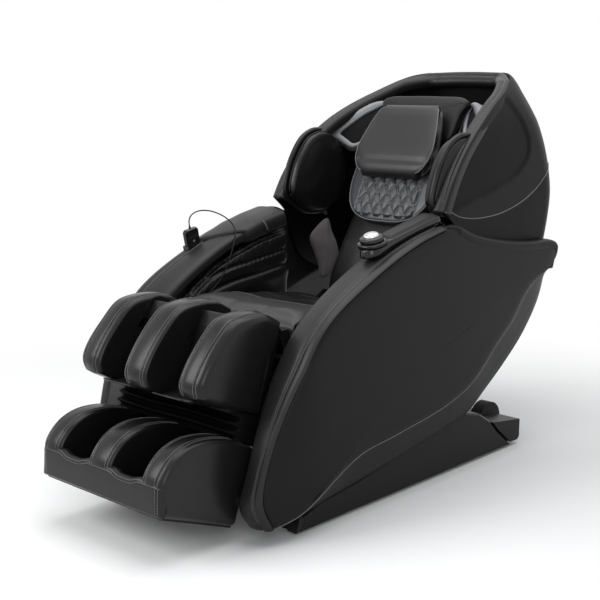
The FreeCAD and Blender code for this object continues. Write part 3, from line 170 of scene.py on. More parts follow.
class Finish:
    """A material built round one shader."""

    def __init__(self, name, **constants):
        self.material = bpy.data.materials.new(name)
        self.material.use_nodes = True
        self.tree = self.material.node_tree
        self.shader = self.tree.nodes["Principled BSDF"]
        for key, value in constants.items():
            key = key.replace("_", " ")
            self.shader.inputs[key].default_value = (*value, 1) if isinstance(value, tuple) else value
        self.place = self.node("ShaderNodeTexCoord", {}, {}, "Object")

    @classmethod
    def of(cls, material):
        """Go on with a material that is already made."""
        again = cls.__new__(cls)
        again.material, again.tree = material, material.node_tree
        again.shader = again.tree.nodes["Principled BSDF"]
        return again

    def node(self, kind, settings, values, out=0):
        made = self.tree.nodes.new(kind)
        for key, value in settings.items():
            if key == "stops":
                ramp = made.color_ramp.elements
                while len(ramp) < len(value):
                    ramp.new(0.5)
                for element, (at, colour) in zip(ramp, value):
                    element.position = at
                    element.color = (*colour, 1)
            else:
                setattr(made, key, value)
        for key, value in values.items():
            if isinstance(value, Socket):
                self.tree.links.new(value.link, made.inputs[key])
            elif isinstance(value, tuple) and made.inputs[key].type == "RGBA":
                made.inputs[key].default_value = (*value, 1)
            else:
                made.inputs[key].default_value = value
        return Socket(self, made.outputs[out])

    def noise(self, scale, detail=3, rough=0.5, at=None, stretch=None):
        at = at or self.place
        if stretch:
            at = self.node("ShaderNodeVectorMath", {"operation": "MULTIPLY"}, {0: at, 1: stretch}, 0)
        values = {"Vector": at, "Scale": scale, "Detail": detail, "Roughness": rough}
        return self.node("ShaderNodeTexNoise", {}, values)

    def cells(self, scale, feature="F1"):
        return self.node("ShaderNodeTexVoronoi", {"feature": feature}, {"Vector": self.place, "Scale": scale})

    def mix(self, factor, a, b):
        return self.node("ShaderNodeMix", {"data_type": "RGBA"}, {0: factor, 6: a, 7: b}, 2)

    def feed(self, name, value):
        self.tree.links.new(value.link, self.shader.inputs[name])

    def bump(self, *layers):
        """Relief from (height, depth in millimetres) layers, summed."""
        total = None
        for height, depth in layers:
            total = height * depth if total is None else total + height * depth
        values = {"Height": total, "Distance": MM, "Strength": 1.0}
        self.feed("Normal", self.node("ShaderNodeBump", {}, values))


def dimmed(colour, share):
    return tuple(c * share for c in colour)


def leather(name, colour, rough=0.42, crease=0.5, grain=1.0, gloss=0.25):
    """Coated upholstery leather: pebble grain, a little lighter between the pebbles, and soft creases."""
    skin = Finish(name, IOR=1.5, Specular_IOR_Level=gloss)
    pebble = skin.cells(620, "SMOOTH_F1")
    pores = skin.noise(2300, 2)
    crumple = skin.noise(26, 4, 0.55)
    soft = skin.noise(7, 2)
    light = tuple(min(1.0, c * 1.22 + 0.0006) for c in colour)
    base = skin.mix(soft.step(0.35, 0.65), dimmed(colour, 0.8), colour)
    base = skin.mix(pebble.step(0.1, 0.55) * 0.35, light, base)
    skin.feed("Base Color", base)
    skin.feed("Roughness", rough + (soft - 0.5) * 0.12 + (pores - 0.5) * 0.1)
    skin.bump((pebble, -0.045 * grain), (pores, 0.014 * grain), (crumple, 0.5 * crease), (soft, 1.1 * crease))
    return skin.material


def moulded(name, colour, rough=0.45, texture=1.0, coat=0.0, coat_rough=0.1, gloss=0.25):
    """Moulded plastic with a fine spark texture and faint flow marks."""
    body = Finish(name, IOR=1.5, Coat_Weight=coat, Coat_Roughness=coat_rough, Specular_IOR_Level=gloss)
    spark = body.noise(1500, 2)
    flow = body.noise(5, 3, 0.5, stretch=(1, 1, 0.3))
    body.feed("Base Color", body.mix(flow.step(0.3, 0.7), dimmed(colour, 0.88), colour))
    body.feed("Roughness", rough + (flow - 0.5) * 0.08 + (spark - 0.5) * 0.06)
    body.bump((spark, 0.018 * texture), (flow, 0.25 * texture))
    return body.material


def metal(name, colour, rough=0.25, brushed=0.0):
    bright = Finish(name, Metallic=1.0)
    lines = bright.noise(300, 3, 0.6, stretch=(12, 1, 1) if brushed else (1, 1, 1))
    smear = bright.noise(14, 3)
    bright.feed("Base Color", bright.mix(smear, dimmed(colour, 0.9), colour))
    bright.feed("Roughness", rough + (smear - 0.5) * 0.14 + (lines - 0.5) * 0.1)
    bright.bump((lines, 0.006 + 0.01 * brushed))
    return bright.material


def suede(name, colour):
    nap = Finish(name, Sheen_Weight=0.2, Sheen_Roughness=0.5, Specular_IOR_Level=0.2)
    fibre = nap.noise(1900, 3, 0.7)
    brush = nap.noise(16, 3, 0.6)
    nap.feed("Base Color", nap.mix(brush.step(0.35, 0.68), dimmed(colour, 0.8), dimmed(colour, 1.1)))
    nap.feed("Roughness", 0.82 + (fibre - 0.5) * 0.2)
    nap.bump((fibre, 0.12), (brush, 0.6))
    return nap.material


def grille(name):
    """Black speaker cloth woven over a mesh, its rows along the slope of the backrest."""
    cloth = Finish(name, Specular_IOR_Level=0.1)
    x, y, z = (cloth.node("ShaderNodeSeparateXYZ", {}, {"Vector": cloth.place}, i) for i in range(3))
    across = x * 2200
    up = (y * 0.469 + z * 0.883) * 2200
    hole = (across.math("SINE", across) * up.math("SINE", up)).step(-0.2, 0.4)
    cloth.feed("Base Color", cloth.mix(hole, (0.014, 0.014, 0.015), (0.002, 0.002, 0.002)))
    cloth.feed("Roughness", 0.7 + hole * 0.2)
    cloth.bump((hole, -0.3))
    return cloth.material


def glass(name):
    pane = Finish(name, Base_Color=(0.006, 0.007, 0.009), Coat_Weight=0.5, Coat_Roughness=0.02, IOR=1.52)
    dust = pane.noise(700, 2)
    pane.feed("Roughness", 0.06 + dust * 0.08)
    return pane.material


BLACK = (0.0058, 0.0058, 0.0062)
CHARCOAL = (0.0125, 0.0125, 0.0135)
finishes = {
    "black_leather": leather("black_leather", BLACK, 0.36, gloss=0.22),
    "charcoal_leather": leather("charcoal_leather", CHARCOAL, 0.4, crease=0.3, gloss=0.24),
    "suede": suede("suede", (0.085, 0.075, 0.08)),
    "quilted_leather": leather("quilted_leather", (0.034, 0.0355, 0.041), 0.33, crease=0.2, gloss=0.45),
    "shell_plastic": moulded("shell_plastic", (0.0055, 0.0055, 0.006), 0.42, gloss=0.16),
    "gloss_plastic": moulded("gloss_plastic", (0.004, 0.004, 0.0045), 0.16, 0.2, coat=0.3, coat_rough=0.04),
    "chrome_trim": metal("chrome_trim", (0.72, 0.73, 0.75), 0.12),
    "silver_plastic": moulded("silver_plastic", (0.22, 0.225, 0.24), 0.3, 0.3, coat=0.3, coat_rough=0.15),
    "screen_glass": glass("screen_glass"),
    "rubber_black": moulded("rubber_black", (0.008, 0.008, 0.008), 0.68, 2.0),
    "frame_steel": moulded("frame_steel", (0.008, 0.008, 0.009), 0.38, 2.2, coat=0.1, coat_rough=0.3),
    "bare_steel": metal("bare_steel", (0.4, 0.41, 0.42), 0.3, 1.0),
    "drive_plastic": moulded("drive_plastic", (0.016, 0.016, 0.017), 0.5, 1.4),
}
extra = {
    "pillow": leather("pillow_leather", (0.0125, 0.0125, 0.0135), 0.36, crease=0.4, gloss=0.34),
    "seat_flap": leather("seat_flap_leather", (0.021, 0.021, 0.0225), 0.4, crease=0.4, gloss=0.3),
    "lobe": leather("lobe_leather", (0.0062, 0.0062, 0.0067), 0.28, crease=0.6, gloss=0.27),
    "curtain": leather("curtain_leather", (0.0022, 0.0022, 0.0024), 0.55, crease=0.6, gloss=0.04),
    "band_brown": leather("band_leather", (0.013, 0.0122, 0.0122), 0.36, crease=0.1, grain=0.6, gloss=0.26),
    "side_panel": leather("side_panel_leather", (0.006, 0.006, 0.0065), 0.42, crease=0.08, grain=0.8,
                          gloss=0.13),
    "thread": moulded("stitch_thread", (0.2, 0.2, 0.205), 0.6, 1.0),
    "piping": leather("pale_piping", (0.12, 0.12, 0.127), 0.42, crease=0.0),
    "dark_piping": leather("dark_piping", (0.009, 0.009, 0.0098), 0.3, crease=0.0),
    "grille": grille("speaker_cloth"),
    "plate": metal("plate_metal", (0.3, 0.3, 0.31), 0.34, 1.0),
}


def hood_leather():
    """The hood's cover, darker inside its leaf panels and below its piping line."""
    made = leather("hood_leather", (0.0085, 0.0085, 0.009), 0.4, crease=0.08, grain=0.8, gloss=0.09)
    cover = Finish.of(made)
    shade = cover.node("ShaderNodeAttribute", {"attribute_name": "shade"}, {}, "Fac")
    plain = cover.shader.inputs["Base Color"].links[0].from_socket
    cover.feed("Base Color", cover.mix(shade, Socket(cover, plain), (0.0026, 0.0026, 0.0029)))
    return made


extra["hood_skin"] = hood_leather()


# Lines and surfaces

def metres(points):
    return (np.asarray(points, float) - DATUM) * MM


def spline(points, count, closed=False):
    """Points evenly spaced along a smooth curve through the given ones."""
    p = np.asarray(points, float)
    p = np.vstack([p[-1], p, p[:2]]) if closed else np.vstack([2 * p[0] - p[1], p, 2 * p[-1] - p[-2]])
    gaps = np.maximum(np.linalg.norm(np.diff(p, axis=0), axis=1), 1e-6)
    knots = np.concatenate([[0], np.cumsum(gaps ** 0.5)])
    dense = []
    for i in range(1, len(p) - 2):
        t0, t1, t2, t3 = knots[i - 1:i + 3]
        t = np.linspace(t1, t2, 24, endpoint=False)[:, None]
        a = [(u1 - t) / (u1 - u0) * p[k] + (t - u0) / (u1 - u0) * p[k + 1]
             for k, u0, u1 in ((i - 1, t0, t1), (i, t1, t2), (i + 1, t2, t3))]
        b = [(t2 - t) / (t2 - t0) * a[0] + (t - t0) / (t2 - t0) * a[1],
             (t3 - t) / (t3 - t1) * a[1] + (t - t1) / (t3 - t1) * a[2]]
        dense.append((t2 - t) / (t2 - t1) * b[0] + (t - t1) / (t2 - t1) * b[1])
    dense.append(p[1:2] if closed else p[-2:-1])
    return even(np.vstack(dense), count, closed)


def even(line, count, closed=False):
    """A polyline resampled at equal spacing. A closed one is given with its first point at both ends."""
    run = np.concatenate([[0], np.cumsum(np.linalg.norm(np.diff(line, axis=0), axis=1))])
    at = np.linspace(0, run[-1], count, endpoint=not closed)
    return np.stack([np.interp(at, run, line[:, k]) for k in range(line.shape[1])], 1)


def inset(points, distance):
    """A closed outline drawn in by a distance, or by one distance for each point."""
    p = np.asarray(points, float)
    x, y = p[:, 0], p[:, 1]
    side = 1 if np.sum(x * np.roll(y, -1) - np.roll(x, -1) * y) > 0 else -1
    along = np.roll(p, -1, 0) - p
    normal = side * np.stack([-along[:, 1], along[:, 0]], 1)
    normal /= np.linalg.norm(normal, axis=1)[:, None] + 1e-9
    before = np.roll(normal, 1, 0)
    mitre = (normal + before) / np.maximum(1 + np.sum(normal * before, 1), 0.35)[:, None]
    return p + mitre * np.reshape(distance, (-1, 1))


def heading(line):
    """The direction of a line at each of its points."""
    along = np.gradient(line, axis=0)
    return along / (np.linalg.norm(along, axis=1)[:, None] + 1e-9)


def left_of(along):
    """Directions in a plane, a quarter turn on."""
    return np.column_stack([-along[:, 1], along[:, 0]])


def at_x(x, outline):
    return np.column_stack([np.full(len(outline), x), outline])


def turn(points, degrees, foot):
    """Points tilted about the x direction and set on a foot; a positive angle lifts the front."""
    p = np.asarray(points, float)
    c, s = math.cos(math.radians(degrees)), math.sin(math.radians(degrees))
    y, z = p[:, 1], p[:, 2]
    return np.column_stack([p[:, 0], y * c + z * s + foot[0], z * c - y * s + foot[1]])


def in_back(points):
    """From backrest space: y counts back from the cushion's face, z up the slope."""
    return turn(points, BACK_SLOPE, BACK_FOOT)


def in_leg(points):
    """From legrest space: the knee pivot is the origin, the shins run down, front is -y."""
    return turn(points, LEG_SLOPE, LEG_PIVOT)


def turn_back(points):
    """Points in backrest space, the other way from in_back."""
    c, s = math.cos(math.radians(BACK_SLOPE)), math.sin(math.radians(BACK_SLOPE))
    y, z = points[:, 1] - BACK_FOOT[0], points[:, 2] - BACK_FOOT[1]
    return np.column_stack([points[:, 0], y * c - z * s, y * s + z * c])


def mirrored(points):
    return np.asarray(points) * (-1, 1, 1)


# Each side's name, and how points that are measured on one side are set on it. The arms and the legrest
# are measured on the left, and the backrest on the right.
LEFT_FIRST = (("left", np.asarray), ("right", mirrored))
RIGHT_FIRST = (("right", np.asarray), ("left", mirrored))


def loft(rings, ends=True):
    """Vertices and faces through closed rings; each end is closed on its middle."""
    n, m = len(rings), len(rings[0])
    verts = [np.vstack(rings)]
    faces = [(i * m + j, i * m + (j + 1) % m, (i + 1) * m + (j + 1) % m, (i + 1) * m + j)
             for i in range(n - 1) for j in range(m)]
    for k, base in ((0, 0), (1, (n - 1) * m)) if ends else ():
        verts.append(np.mean(rings[-k], 0)[None])
        faces += [(base + j, base + (j + 1) % m, n * m + k) for j in range(m)]
    return np.vstack(verts), faces


def grid(rows):
    """Vertices and faces of an open sheet through rows of points."""
    n, m = len(rows), len(rows[0])
    faces = [(i * m + j, i * m + j + 1, (i + 1) * m + j + 1, (i + 1) * m + j)
             for i in range(n - 1) for j in range(m - 1)]
    return np.vstack(rows), faces


def joined(*parts):
    verts, faces, base = [], [], 0
    for v, f in parts:
        verts.append(np.asarray(v, float))
        faces += [tuple(i + base for i in face) for face in f]
        base += len(v)
    return np.vstack(verts), faces


def tube(path, radius, sides=8, closed=False):
    """A round strip along a path, for piping and cords sewn into an edge."""
    p = np.asarray(path, float)
    ahead = np.roll(p, -1, 0) - np.roll(p, 1, 0)
    if not closed:
        ahead[0], ahead[-1] = p[1] - p[0], p[-1] - p[-2]
    ahead /= np.linalg.norm(ahead, axis=1)[:, None] + 1e-9
    side = np.cross(ahead[0], (0.3, 0.2, 0.93))
    rings = []
    for point, t in zip(p, ahead):
        side = side - t * np.dot(side, t)
        side /= np.linalg.norm(side)
        up = np.cross(t, side)
        a = np.arange(sides) * 2 * math.pi / sides
        rings.append(point + radius * (np.cos(a)[:, None] * side + np.sin(a)[:, None] * up))
    if closed:
        return loft(rings + rings[:1], ends=False)
    return loft(rings)


def shape(name, verts, faces):
    """A mesh object from millimetre points, its doubles merged and its faces turned outwards."""
    data = bpy.data.meshes.new(name)
    data.from_pydata(metres(verts).tolist(), [], faces)
    work = bmesh.new()
    work.from_mesh(data)
    bmesh.ops.remove_doubles(work, verts=work.verts, dist=0.00002)
    bmesh.ops.recalc_face_normals(work, faces=work.faces)
    work.to_mesh(data)
    work.free()
    made = bpy.data.objects.new(name, data)
    scene.collection.objects.link(made)
    return made


def piece(made, body, finish, replaced=(), smooth=True):
    """Give a finished mesh its material, the body it rides on, and the nodes it stands for."""
    made.data.materials.clear()
    made.data.materials.append(finishes.get(finish) or extra[finish])
    if smooth:
        made.data.shade_smooth()
    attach(made, body)
    if replaced:
        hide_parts(*replaced)
    return made


def coords(made):
    flat = np.empty(len(made.data.vertices) * 3)
    made.data.vertices.foreach_get("co", flat)
    return flat.reshape(-1, 3) / MM + DATUM


def set_coords(made, points):
    made.data.vertices.foreach_set("co", metres(points).ravel())
    made.data.update()


def normals(made):
    flat = np.empty(len(made.data.vertices) * 3)
    made.data.vertices.foreach_get("normal", flat)
    return flat.reshape(-1, 3)


def groove(made, path, width, depth):
    """Press a seam's channel into a surface along a path; a negative depth raises it."""
    near = KDTree(len(path))
    for i, p in enumerate(path):
        near.insert(p, i)
    near.balance()
    points, out = coords(made), normals(made)
    away = np.array([near.find(p)[2] for p in points])
    share = np.clip(1 - (away / width) ** 2, 0, 1) ** 1.5
    set_coords(made, points - out * (share * depth)[:, None])


def laid(made, path, lift=0.0):
    """A path moved onto the nearest surface of a piece, then lifted off it."""
    data = made.data
    tree = BVHTree.FromPolygons(coords(made).tolist(), [tuple(p.vertices) for p in data.polygons])
    out = []
    for p in path:
        place, normal, _, _ = tree.find_nearest(Vector(p))
        out.append(np.array(place) + np.array(normal) * lift)
    return np.array(out)


# What is sewn: strips of piping by their body and kind, and the lines that each body's stitches follow.
piping = {}
stitch_lines = {}


def sew(body, path, kind="stitch", radius=1.6):
    if kind == "stitch":
        stitch_lines.setdefault(body, []).append(np.asarray(path, float))
    else:
        piping.setdefault((body, kind), []).append(tube(path, radius))


def double_stitch(body, made, path, apart=4.5, across=(1, 0, 0)):
    """Two rows of stitches either side of a path on a piece."""
    for side in (-1, 1):
        moved = np.asarray(path) + np.asarray(across) * side * apart
        sew(body, laid(made, moved, 0.25))


def seam(body, made, path, width, depth, apart, across=(1, 0, 0)):
    """A pressed seam with a row of stitches on either side; its line comes back as it lies on the piece."""
    path = laid(made, path)
    groove(made, path, width, depth)
    double_stitch(body, made, path, apart, across)
    return path


def cad_copy(name, new_name):
    """A copy of a CAD node's mesh under a new name, with its doubles merged."""
    work = bmesh.new()
    work.from_mesh(nodes[name].data)
    bmesh.ops.remove_doubles(work, verts=work.verts, dist=0.00003)
    data = bpy.data.meshes.new(new_name)
    work.to_mesh(data)
    work.free()
    made = bpy.data.objects.new(new_name, data)
    scene.collection.objects.link(made)
    return made


def modify(made, kind, **settings):
    """Give a piece a modifier, which settled() applies."""
    added = made.modifiers.new(kind.lower(), kind)
    for key, value in settings.items():
        setattr(added, key, value)
    return added


def settled(made):
    """Apply a piece's modifiers to its mesh."""
    data = bpy.data.meshes.new_from_object(made.evaluated_get(bpy.context.evaluated_depsgraph_get()))
    old = made.data
    made.modifiers.clear()
    made.data = data
    bpy.data.meshes.remove(old)
    return made


def eased(made, times):
    modify(made, "SMOOTH", factor=0.5, iterations=times)
    return settled(made)


def remeshed(made, voxel):
    modify(made, "REMESH", mode="VOXEL", voxel_size=voxel * MM)
    return settled(made)


def walled(made, thick, offset=0):
    """Give an open sheet a wall, half of it each side, or on the side that the offset names."""
    modify(made, "SOLIDIFY", thickness=thick * MM, offset=offset)
    return settled(made)


def crowned(name, line, place, thick, crown, rim=12.0):
    """A pad's closed form: flat back, rounded rim and crowned face; place sets (u, v, height) points."""
    rims = ((4, -thick), (1, 3 - thick), (0, -thick / 2), (0.8, -4.5), (3, -1.6), (6.5, 0.6), (rim, 2.2))
    rings = [(inset(line, d), h) for d, h in rims]
    face = rings[-1][0]
    mid = face.mean(0)
    shares = (0.92, 0.8, 0.65, 0.48, 0.3, 0.12)
    rings += [(mid + (face - mid) * s, 2.2 + crown * (1 - s ** 2.5)) for s in shares]
    return shape(name, *loft([place(ring[:, 0], ring[:, 1], h) for ring, h in rings]))


# The cover of a cushion, as a cloth that a pressure inside swells.
COVER = {"quality": 4, "mass": 0.3, "tension_stiffness": 12, "compression_stiffness": 12,
         "shear_stiffness": 6, "bending_stiffness": 0.6, "use_pressure": True, "uniform_pressure_force": 4.0}
SWELL_FRAMES = 20


def swollen(made):
    cloth = modify(made, "CLOTH")
    for key, value in COVER.items():
        setattr(cloth.settings, key, value)
    cloth.settings.effector_weights.gravity = 0
    cloth.collision_settings.use_collision = False
    for frame_number in range(1, SWELL_FRAMES + 1):
        scene.frame_set(frame_number)
    settled(made)
    scene.frame_set(1)


def stuffed(made, voxel, shrink, cap, ease=3):
    """A cushion from a plain form: remeshed evenly, shrunk, swollen as stuffed cloth by no more than cap,
    and smoothed."""
    remeshed(made, voxel)
    set_coords(made, coords(made) - normals(made) * shrink)
    eased(made, ease)
    start = coords(made)
    swollen(made)
    moved = coords(made) - start
    size = np.linalg.norm(moved, axis=1)[:, None]
    set_coords(made, start + moved * np.minimum(1, cap / np.maximum(size, 1e-6)))
    modify(made, "SMOOTH", factor=0.5, iterations=ease)
    modify(made, "SUBSURF", levels=1, render_levels=1)
    return settled(made)


# The arms

SEAM = [(-489, 49), (-521, 127), (-499, 258), (-421, 433), (-326, 557), (-108, 672), (59, 733), (187, 762)]
INNER_EDGE = [(-500, 45), (-532, 100), (-510, 173), (-438, 363), (-394, 446), (-313, 546), (-108, 668),
              (59, 728), (187, 757)]
SPLIT = [(187, 762), (240, 764), (320, 733), (400, 712), (520, 690), (660, 674), (790, 668)]
ARM_REAR = [(790, 668), (802, 656), (803, 635), (785, 579)]
ARM_UNDER = [(785, 579), (745, 482), (659, 381), (552, 299), (447, 232), (356, 178), (200, 146), (-67, 108),
             (-303, 78), (-411, 57), (-489, 49)]
PIPING = [(785, 579), (742, 586), (631, 526), (547, 440), (464, 380), (350, 290), (217, 242), (-30, 205),
          (-192, 183), (-343, 114), (-411, 72), (-489, 49)]
KINK = ((-410.0, 460.0), (-352.0, 68.0))
ARM_TAPER = 0.275


def drawn_in(points):
    """Points of an arm, moved in where the arm narrows in front of its kink line."""
    p = np.array(points, float)
    (y0, z0), (y1, z1) = KINK
    ahead = ((p[:, 1] - y0) * (z1 - z0) - (p[:, 2] - z0) * (y1 - y0)) / math.hypot(y1 - y0, z1 - z0)
    ahead = (ahead + np.hypot(ahead, 12)) / 2
    share = np.clip((p[:, 0] - ARM_CLEAR) / (ARM_OUTER - ARM_CLEAR), 0, 1.1)
    p[:, 0] -= ARM_TAPER * share * ahead
    return p


def arm_line(x, rise, count=150):
    """A line along the arm's top at one width, raised off it."""
    t = (x - ARM_CLEAR) / (ARM_OUTER - ARM_CLEAR)
    line = spline(INNER_EDGE, count) * (1 - t) + spline(SEAM, count) * t
    return at_x(x, line + left_of(heading(line)) * rise)


# The padded band's section: (distance across the chair, rise over the arm's line).
BAND_SECTION = [(263, -21), (262, -10), (263.5, -1), (269, 5), (280, 8.5), (300, 11), (322, 12), (337, 11),
                (343, 9), (346, 6.2), (349, 9), (355, 11.5), (363, 12), (372, 10), (379, 6.5), (383.5, 2),
                (381, 1.3), (366, 1.3), (351, 1.3), (349.3, -8), (349, -20), (330, -23), (285, -23)]


def arm_band():
    section = spline(BAND_SECTION, 84, closed=True)
    lines = [drawn_in(arm_line(x, rise)) for x, rise in section]
    return loft([np.array([line[i] for line in lines]) for i in range(len(lines[0]))])


def arm_panel():
    """The side shell: a broad crowned panel whose edges roll in, and the wedge under its piping line."""
    upper = [spline(SEAM, 70)[:-1], spline(SPLIT, 40)[:-1], spline(ARM_REAR, 12)[:-1]]
    rim = np.vstack(upper + [spline(ARM_UNDER, 80)[:-1]])
    face = np.vstack(upper + [spline(PIPING, 80)[:-1]])
    middle = np.array((100.0, 400.0))
    edge = ((RIM, 0, 0), (RIM + 3, 0, 0), (358, 0.22, 0), (366, 0.5, 0), (373, 0.78, 0), (378, 0.97, 0.6),
            (380.6, 1, 2), (383, 1, 4.6), (384.6, 1, 8), (385.3, 1, 12))
    rings = [drawn_in(at_x(x, inset(rim * (1 - t) + face * t, d))) for x, t, d in edge]
    flat = inset(face, 12)
    for s in (0.93, 0.82, 0.68, 0.52, 0.36, 0.2, 0.08):
        rings.append(drawn_in(at_x(385.5 + 2.5 * (1 - s * s), middle + (flat - middle) * s)))
    return loft(rings)


# The bumper strip between the side panel and the hood: its line, and its section as (width, rise) pairs.
STRIP_LINE = [(196, 768), (240, 762), (320, 731), (400, 710), (520, 688), (660, 672), (770, 666), (798, 655),
              (803, 630), (792, 596)]
STRIP_SECTION = [(352, 9), (368, 10.5), (380, 8), (387, 2), (388, -8), (386, -17), (380, -21), (360, -22),
                 (351, -12)]
STRIP_MIDDLE = 372


def split_rim():
    """The bumper strip, which thins out towards both ends."""
    count = 110
    line = spline(STRIP_LINE, count)
    out = left_of(heading(line))
    section = spline(STRIP_SECTION, 36, closed=True)
    place = np.arange(count)
    shrink = np.clip(np.minimum(place, place[::-1]) / 9, 0.1, 1) ** 0.5
    rings = []
    for point, side, share in zip(line, out, shrink):
        widths = STRIP_MIDDLE + (section[:, 0] - STRIP_MIDDLE) * share
        rings.append(np.column_stack([widths, point + np.outer(section[:, 1] * share, side)]))
    return loft(rings)


def arms():
    for side, turned in LEFT_FIRST:
        verts, faces = arm_band()
        band = shape("arm_band_" + side, turned(verts), faces)
        piece(band, "seat", "charcoal_leather", ("arm_top_" + side,))
        for x, rise in ((340.5, 9.4), (351.5, 10.2)):
            sew("seat", turned(drawn_in(arm_line(x, rise))[4:-3]))
        verts, faces = arm_panel()
        panel = shape("arm_panel_" + side, turned(verts), faces)
        piece(panel, "seat", "side_panel", ("arm_shell_" + side,))
        verts, faces = split_rim()
        piece(shape("split_rim_" + side, turned(verts), faces), "seat", "side_panel")
        line = drawn_in(at_x(381.5, spline(PIPING, 130)))[8:-2]
        sew("seat", turned(line), "piping", 1.5)


arms()


# The hood. Each plan level is its height, half width, rear and corner radius.
HOOD_LEVELS = [(500, 345, 728, 60), (560, 345, 762, 62), (650, 345, 815, 66), (806, 345, 858, 74),
               (880, 342, 866, 92), (970, 331, 868, 118), (1052, 313, 866, 148), (1104, 290, 859, 160),
               (1147, 262, 847, 148), (1178, 232, 836, 112), (1200, 205, 824, 82), (1212, 180, 813, 60)]
HOOD_PLAN = spline(HOOD_LEVELS, 160)
HOOD_EDGE = [(222, 806), (264, 880), (308, 936), (372, 996), (454, 1054), (550, 1105), (651, 1147),
             (720, 1177), (772, 1197), (812, 1209)]
HOOD_LOW = [(730, 503), (640, 505), (560, 515), (440, 550), (340, 602), (300, 680), (280, 752), (222, 806)]


def hood_width(z):
    return np.interp(z, HOOD_PLAN[:, 0], HOOD_PLAN[:, 1])


def hood_section(z, count=121):
    """Half the hood's plan at a height, from its front edge to the middle of its rear."""
    w, rear, corner = (np.interp(z, HOOD_PLAN[:, 0], HOOD_PLAN[:, k]) for k in (1, 2, 3))
    low, edge = spline(HOOD_LOW, 80), spline(HOOD_EDGE, 120)
    line = low if z < 806 else edge
    front = min(np.interp(z, np.maximum.accumulate(line[:, 1]), line[:, 0]), rear - 6)
    a = np.linspace(0, math.pi / 2, 40)
    round_x, round_y = corner * np.cos(a) ** 0.9, corner * np.sin(a) ** 0.9
    bend = np.column_stack([w - corner + round_x, rear - corner + round_y])
    run = np.vstack([[(w, min(front, rear - corner) - 1)], bend, [(0, rear)]])
    k = np.nonzero(run[:, 1] >= front)[0][0]
    t = (front - run[k - 1, 1]) / (run[k, 1] - run[k - 1, 1] + 1e-9)
    run = np.vstack([run[k - 1] + (run[k] - run[k - 1]) * np.clip(t, 0, 1), run[k:]])
    return np.column_stack([even(run, count), np.full(count, z)])


LEAF = [(255, 803), (313, 813), (378, 829), (446, 841), (514, 860), (585, 879), (643, 907), (690, 945),
        (706, 989), (690, 1049), (664, 1097), (640, 1132), (590, 1106), (550, 1087), (454, 1035),
        (372, 976), (318, 920), (282, 866)]
SWOOSH = [(225, 807), (253, 804), (300, 787), (366, 777), (434, 775), (504, 779), (575, 791), (648, 811),
          (722, 843), (767, 872), (815, 905), (845, 925)]


LEAF_DEPTH = 5.0


def side_sink(points):
    """How far each side point of the hood is pressed in: the leaf panel lies a little below its frame."""
    leaf = spline(LEAF, 160, closed=True)
    tree = KDTree(len(leaf))
    for i, (y, z) in enumerate(leaf):
        tree.insert((0, y, z), i)
    tree.balance()
    y, z = points[:, 1], points[:, 2]
    inside = np.zeros(len(points), bool)
    for (y0, z0), (y1, z1) in zip(leaf, np.roll(leaf, -1, 0)):
        hit = ((z0 > z) != (z1 > z)) & (y < (y1 - y0) * (z - z0) / (z1 - z0 + 1e-12) + y0)
        inside ^= hit
    away = np.array([tree.find((0, a, b))[2] for a, b in zip(y, z)])
    return np.where(inside, np.clip(away / 9, 0, 1) ** 0.8 * LEAF_DEPTH, 0)


def hood():
    """The hood's shell, its leaf panels sunk in its sides and its lower part darker."""
    halves = []
    for z in [*np.linspace(503, 800, 34), *np.linspace(806, 1180, 60), *np.linspace(1184, 1208.5, 10)]:
        half = hood_section(z)
        side = half[:, 0] > hood_width(z) - 24
        half[:, 0] -= np.where(side, side_sink(half), 0)
        halves.append(half)
    rows = [np.vstack([half, mirrored(half[:-1][::-1])]) for half in halves]
    made = walled(shape("hood_shell_form", *grid(rows)), 10, -1)
    points = coords(made)
    swoosh = spline(SWOOSH, 120)
    low = np.clip((np.interp(points[:, 1], swoosh[:, 0], swoosh[:, 1]) - points[:, 2]) / 4, 0, 1)
    shade = made.data.attributes.new("shade", "FLOAT", "POINT")
    shade.data.foreach_set("value", np.maximum(low, side_sink(points) / LEAF_DEPTH))
    piece(made, "back", "hood_skin", ("hood_shell",))
    for turned in (np.asarray, mirrored):
        sew("back", laid(made, turned(at_x(350, swoosh)), 0.4), "piping", 1.7)


def hood_arch(count=220):
    """The hood's front edge, up one side, over the top and down the other."""
    side = np.array([(hood_width(z), y, z) for y, z in spline(HOOD_EDGE, 120)[:-14]])
    top = np.array([(150, 806, 1208.5), (100, 811, 1211), (50, 814, 1212.5), (0, 815, 1213)])
    half = spline(np.vstack([side[::8], side[-1:], top]), count // 2 + 1)
    return np.vstack([half, mirrored(half[:-1][::-1])])


# The front band's section: (distance in from the hood's outer face, distance back from its front edge).
HOOD_BAND_SECTION = [(-1.5, 30), (-2.5, 20), (-2, 8), (2, 0.5), (9, -3.5), (14, -3.2), (18, -1.2), (21, -3.4),
                     (28, -4.5), (36, -3.5), (43, 1), (46.5, 9), (46, 22), (42, 32), (30, 34), (10, 34)]


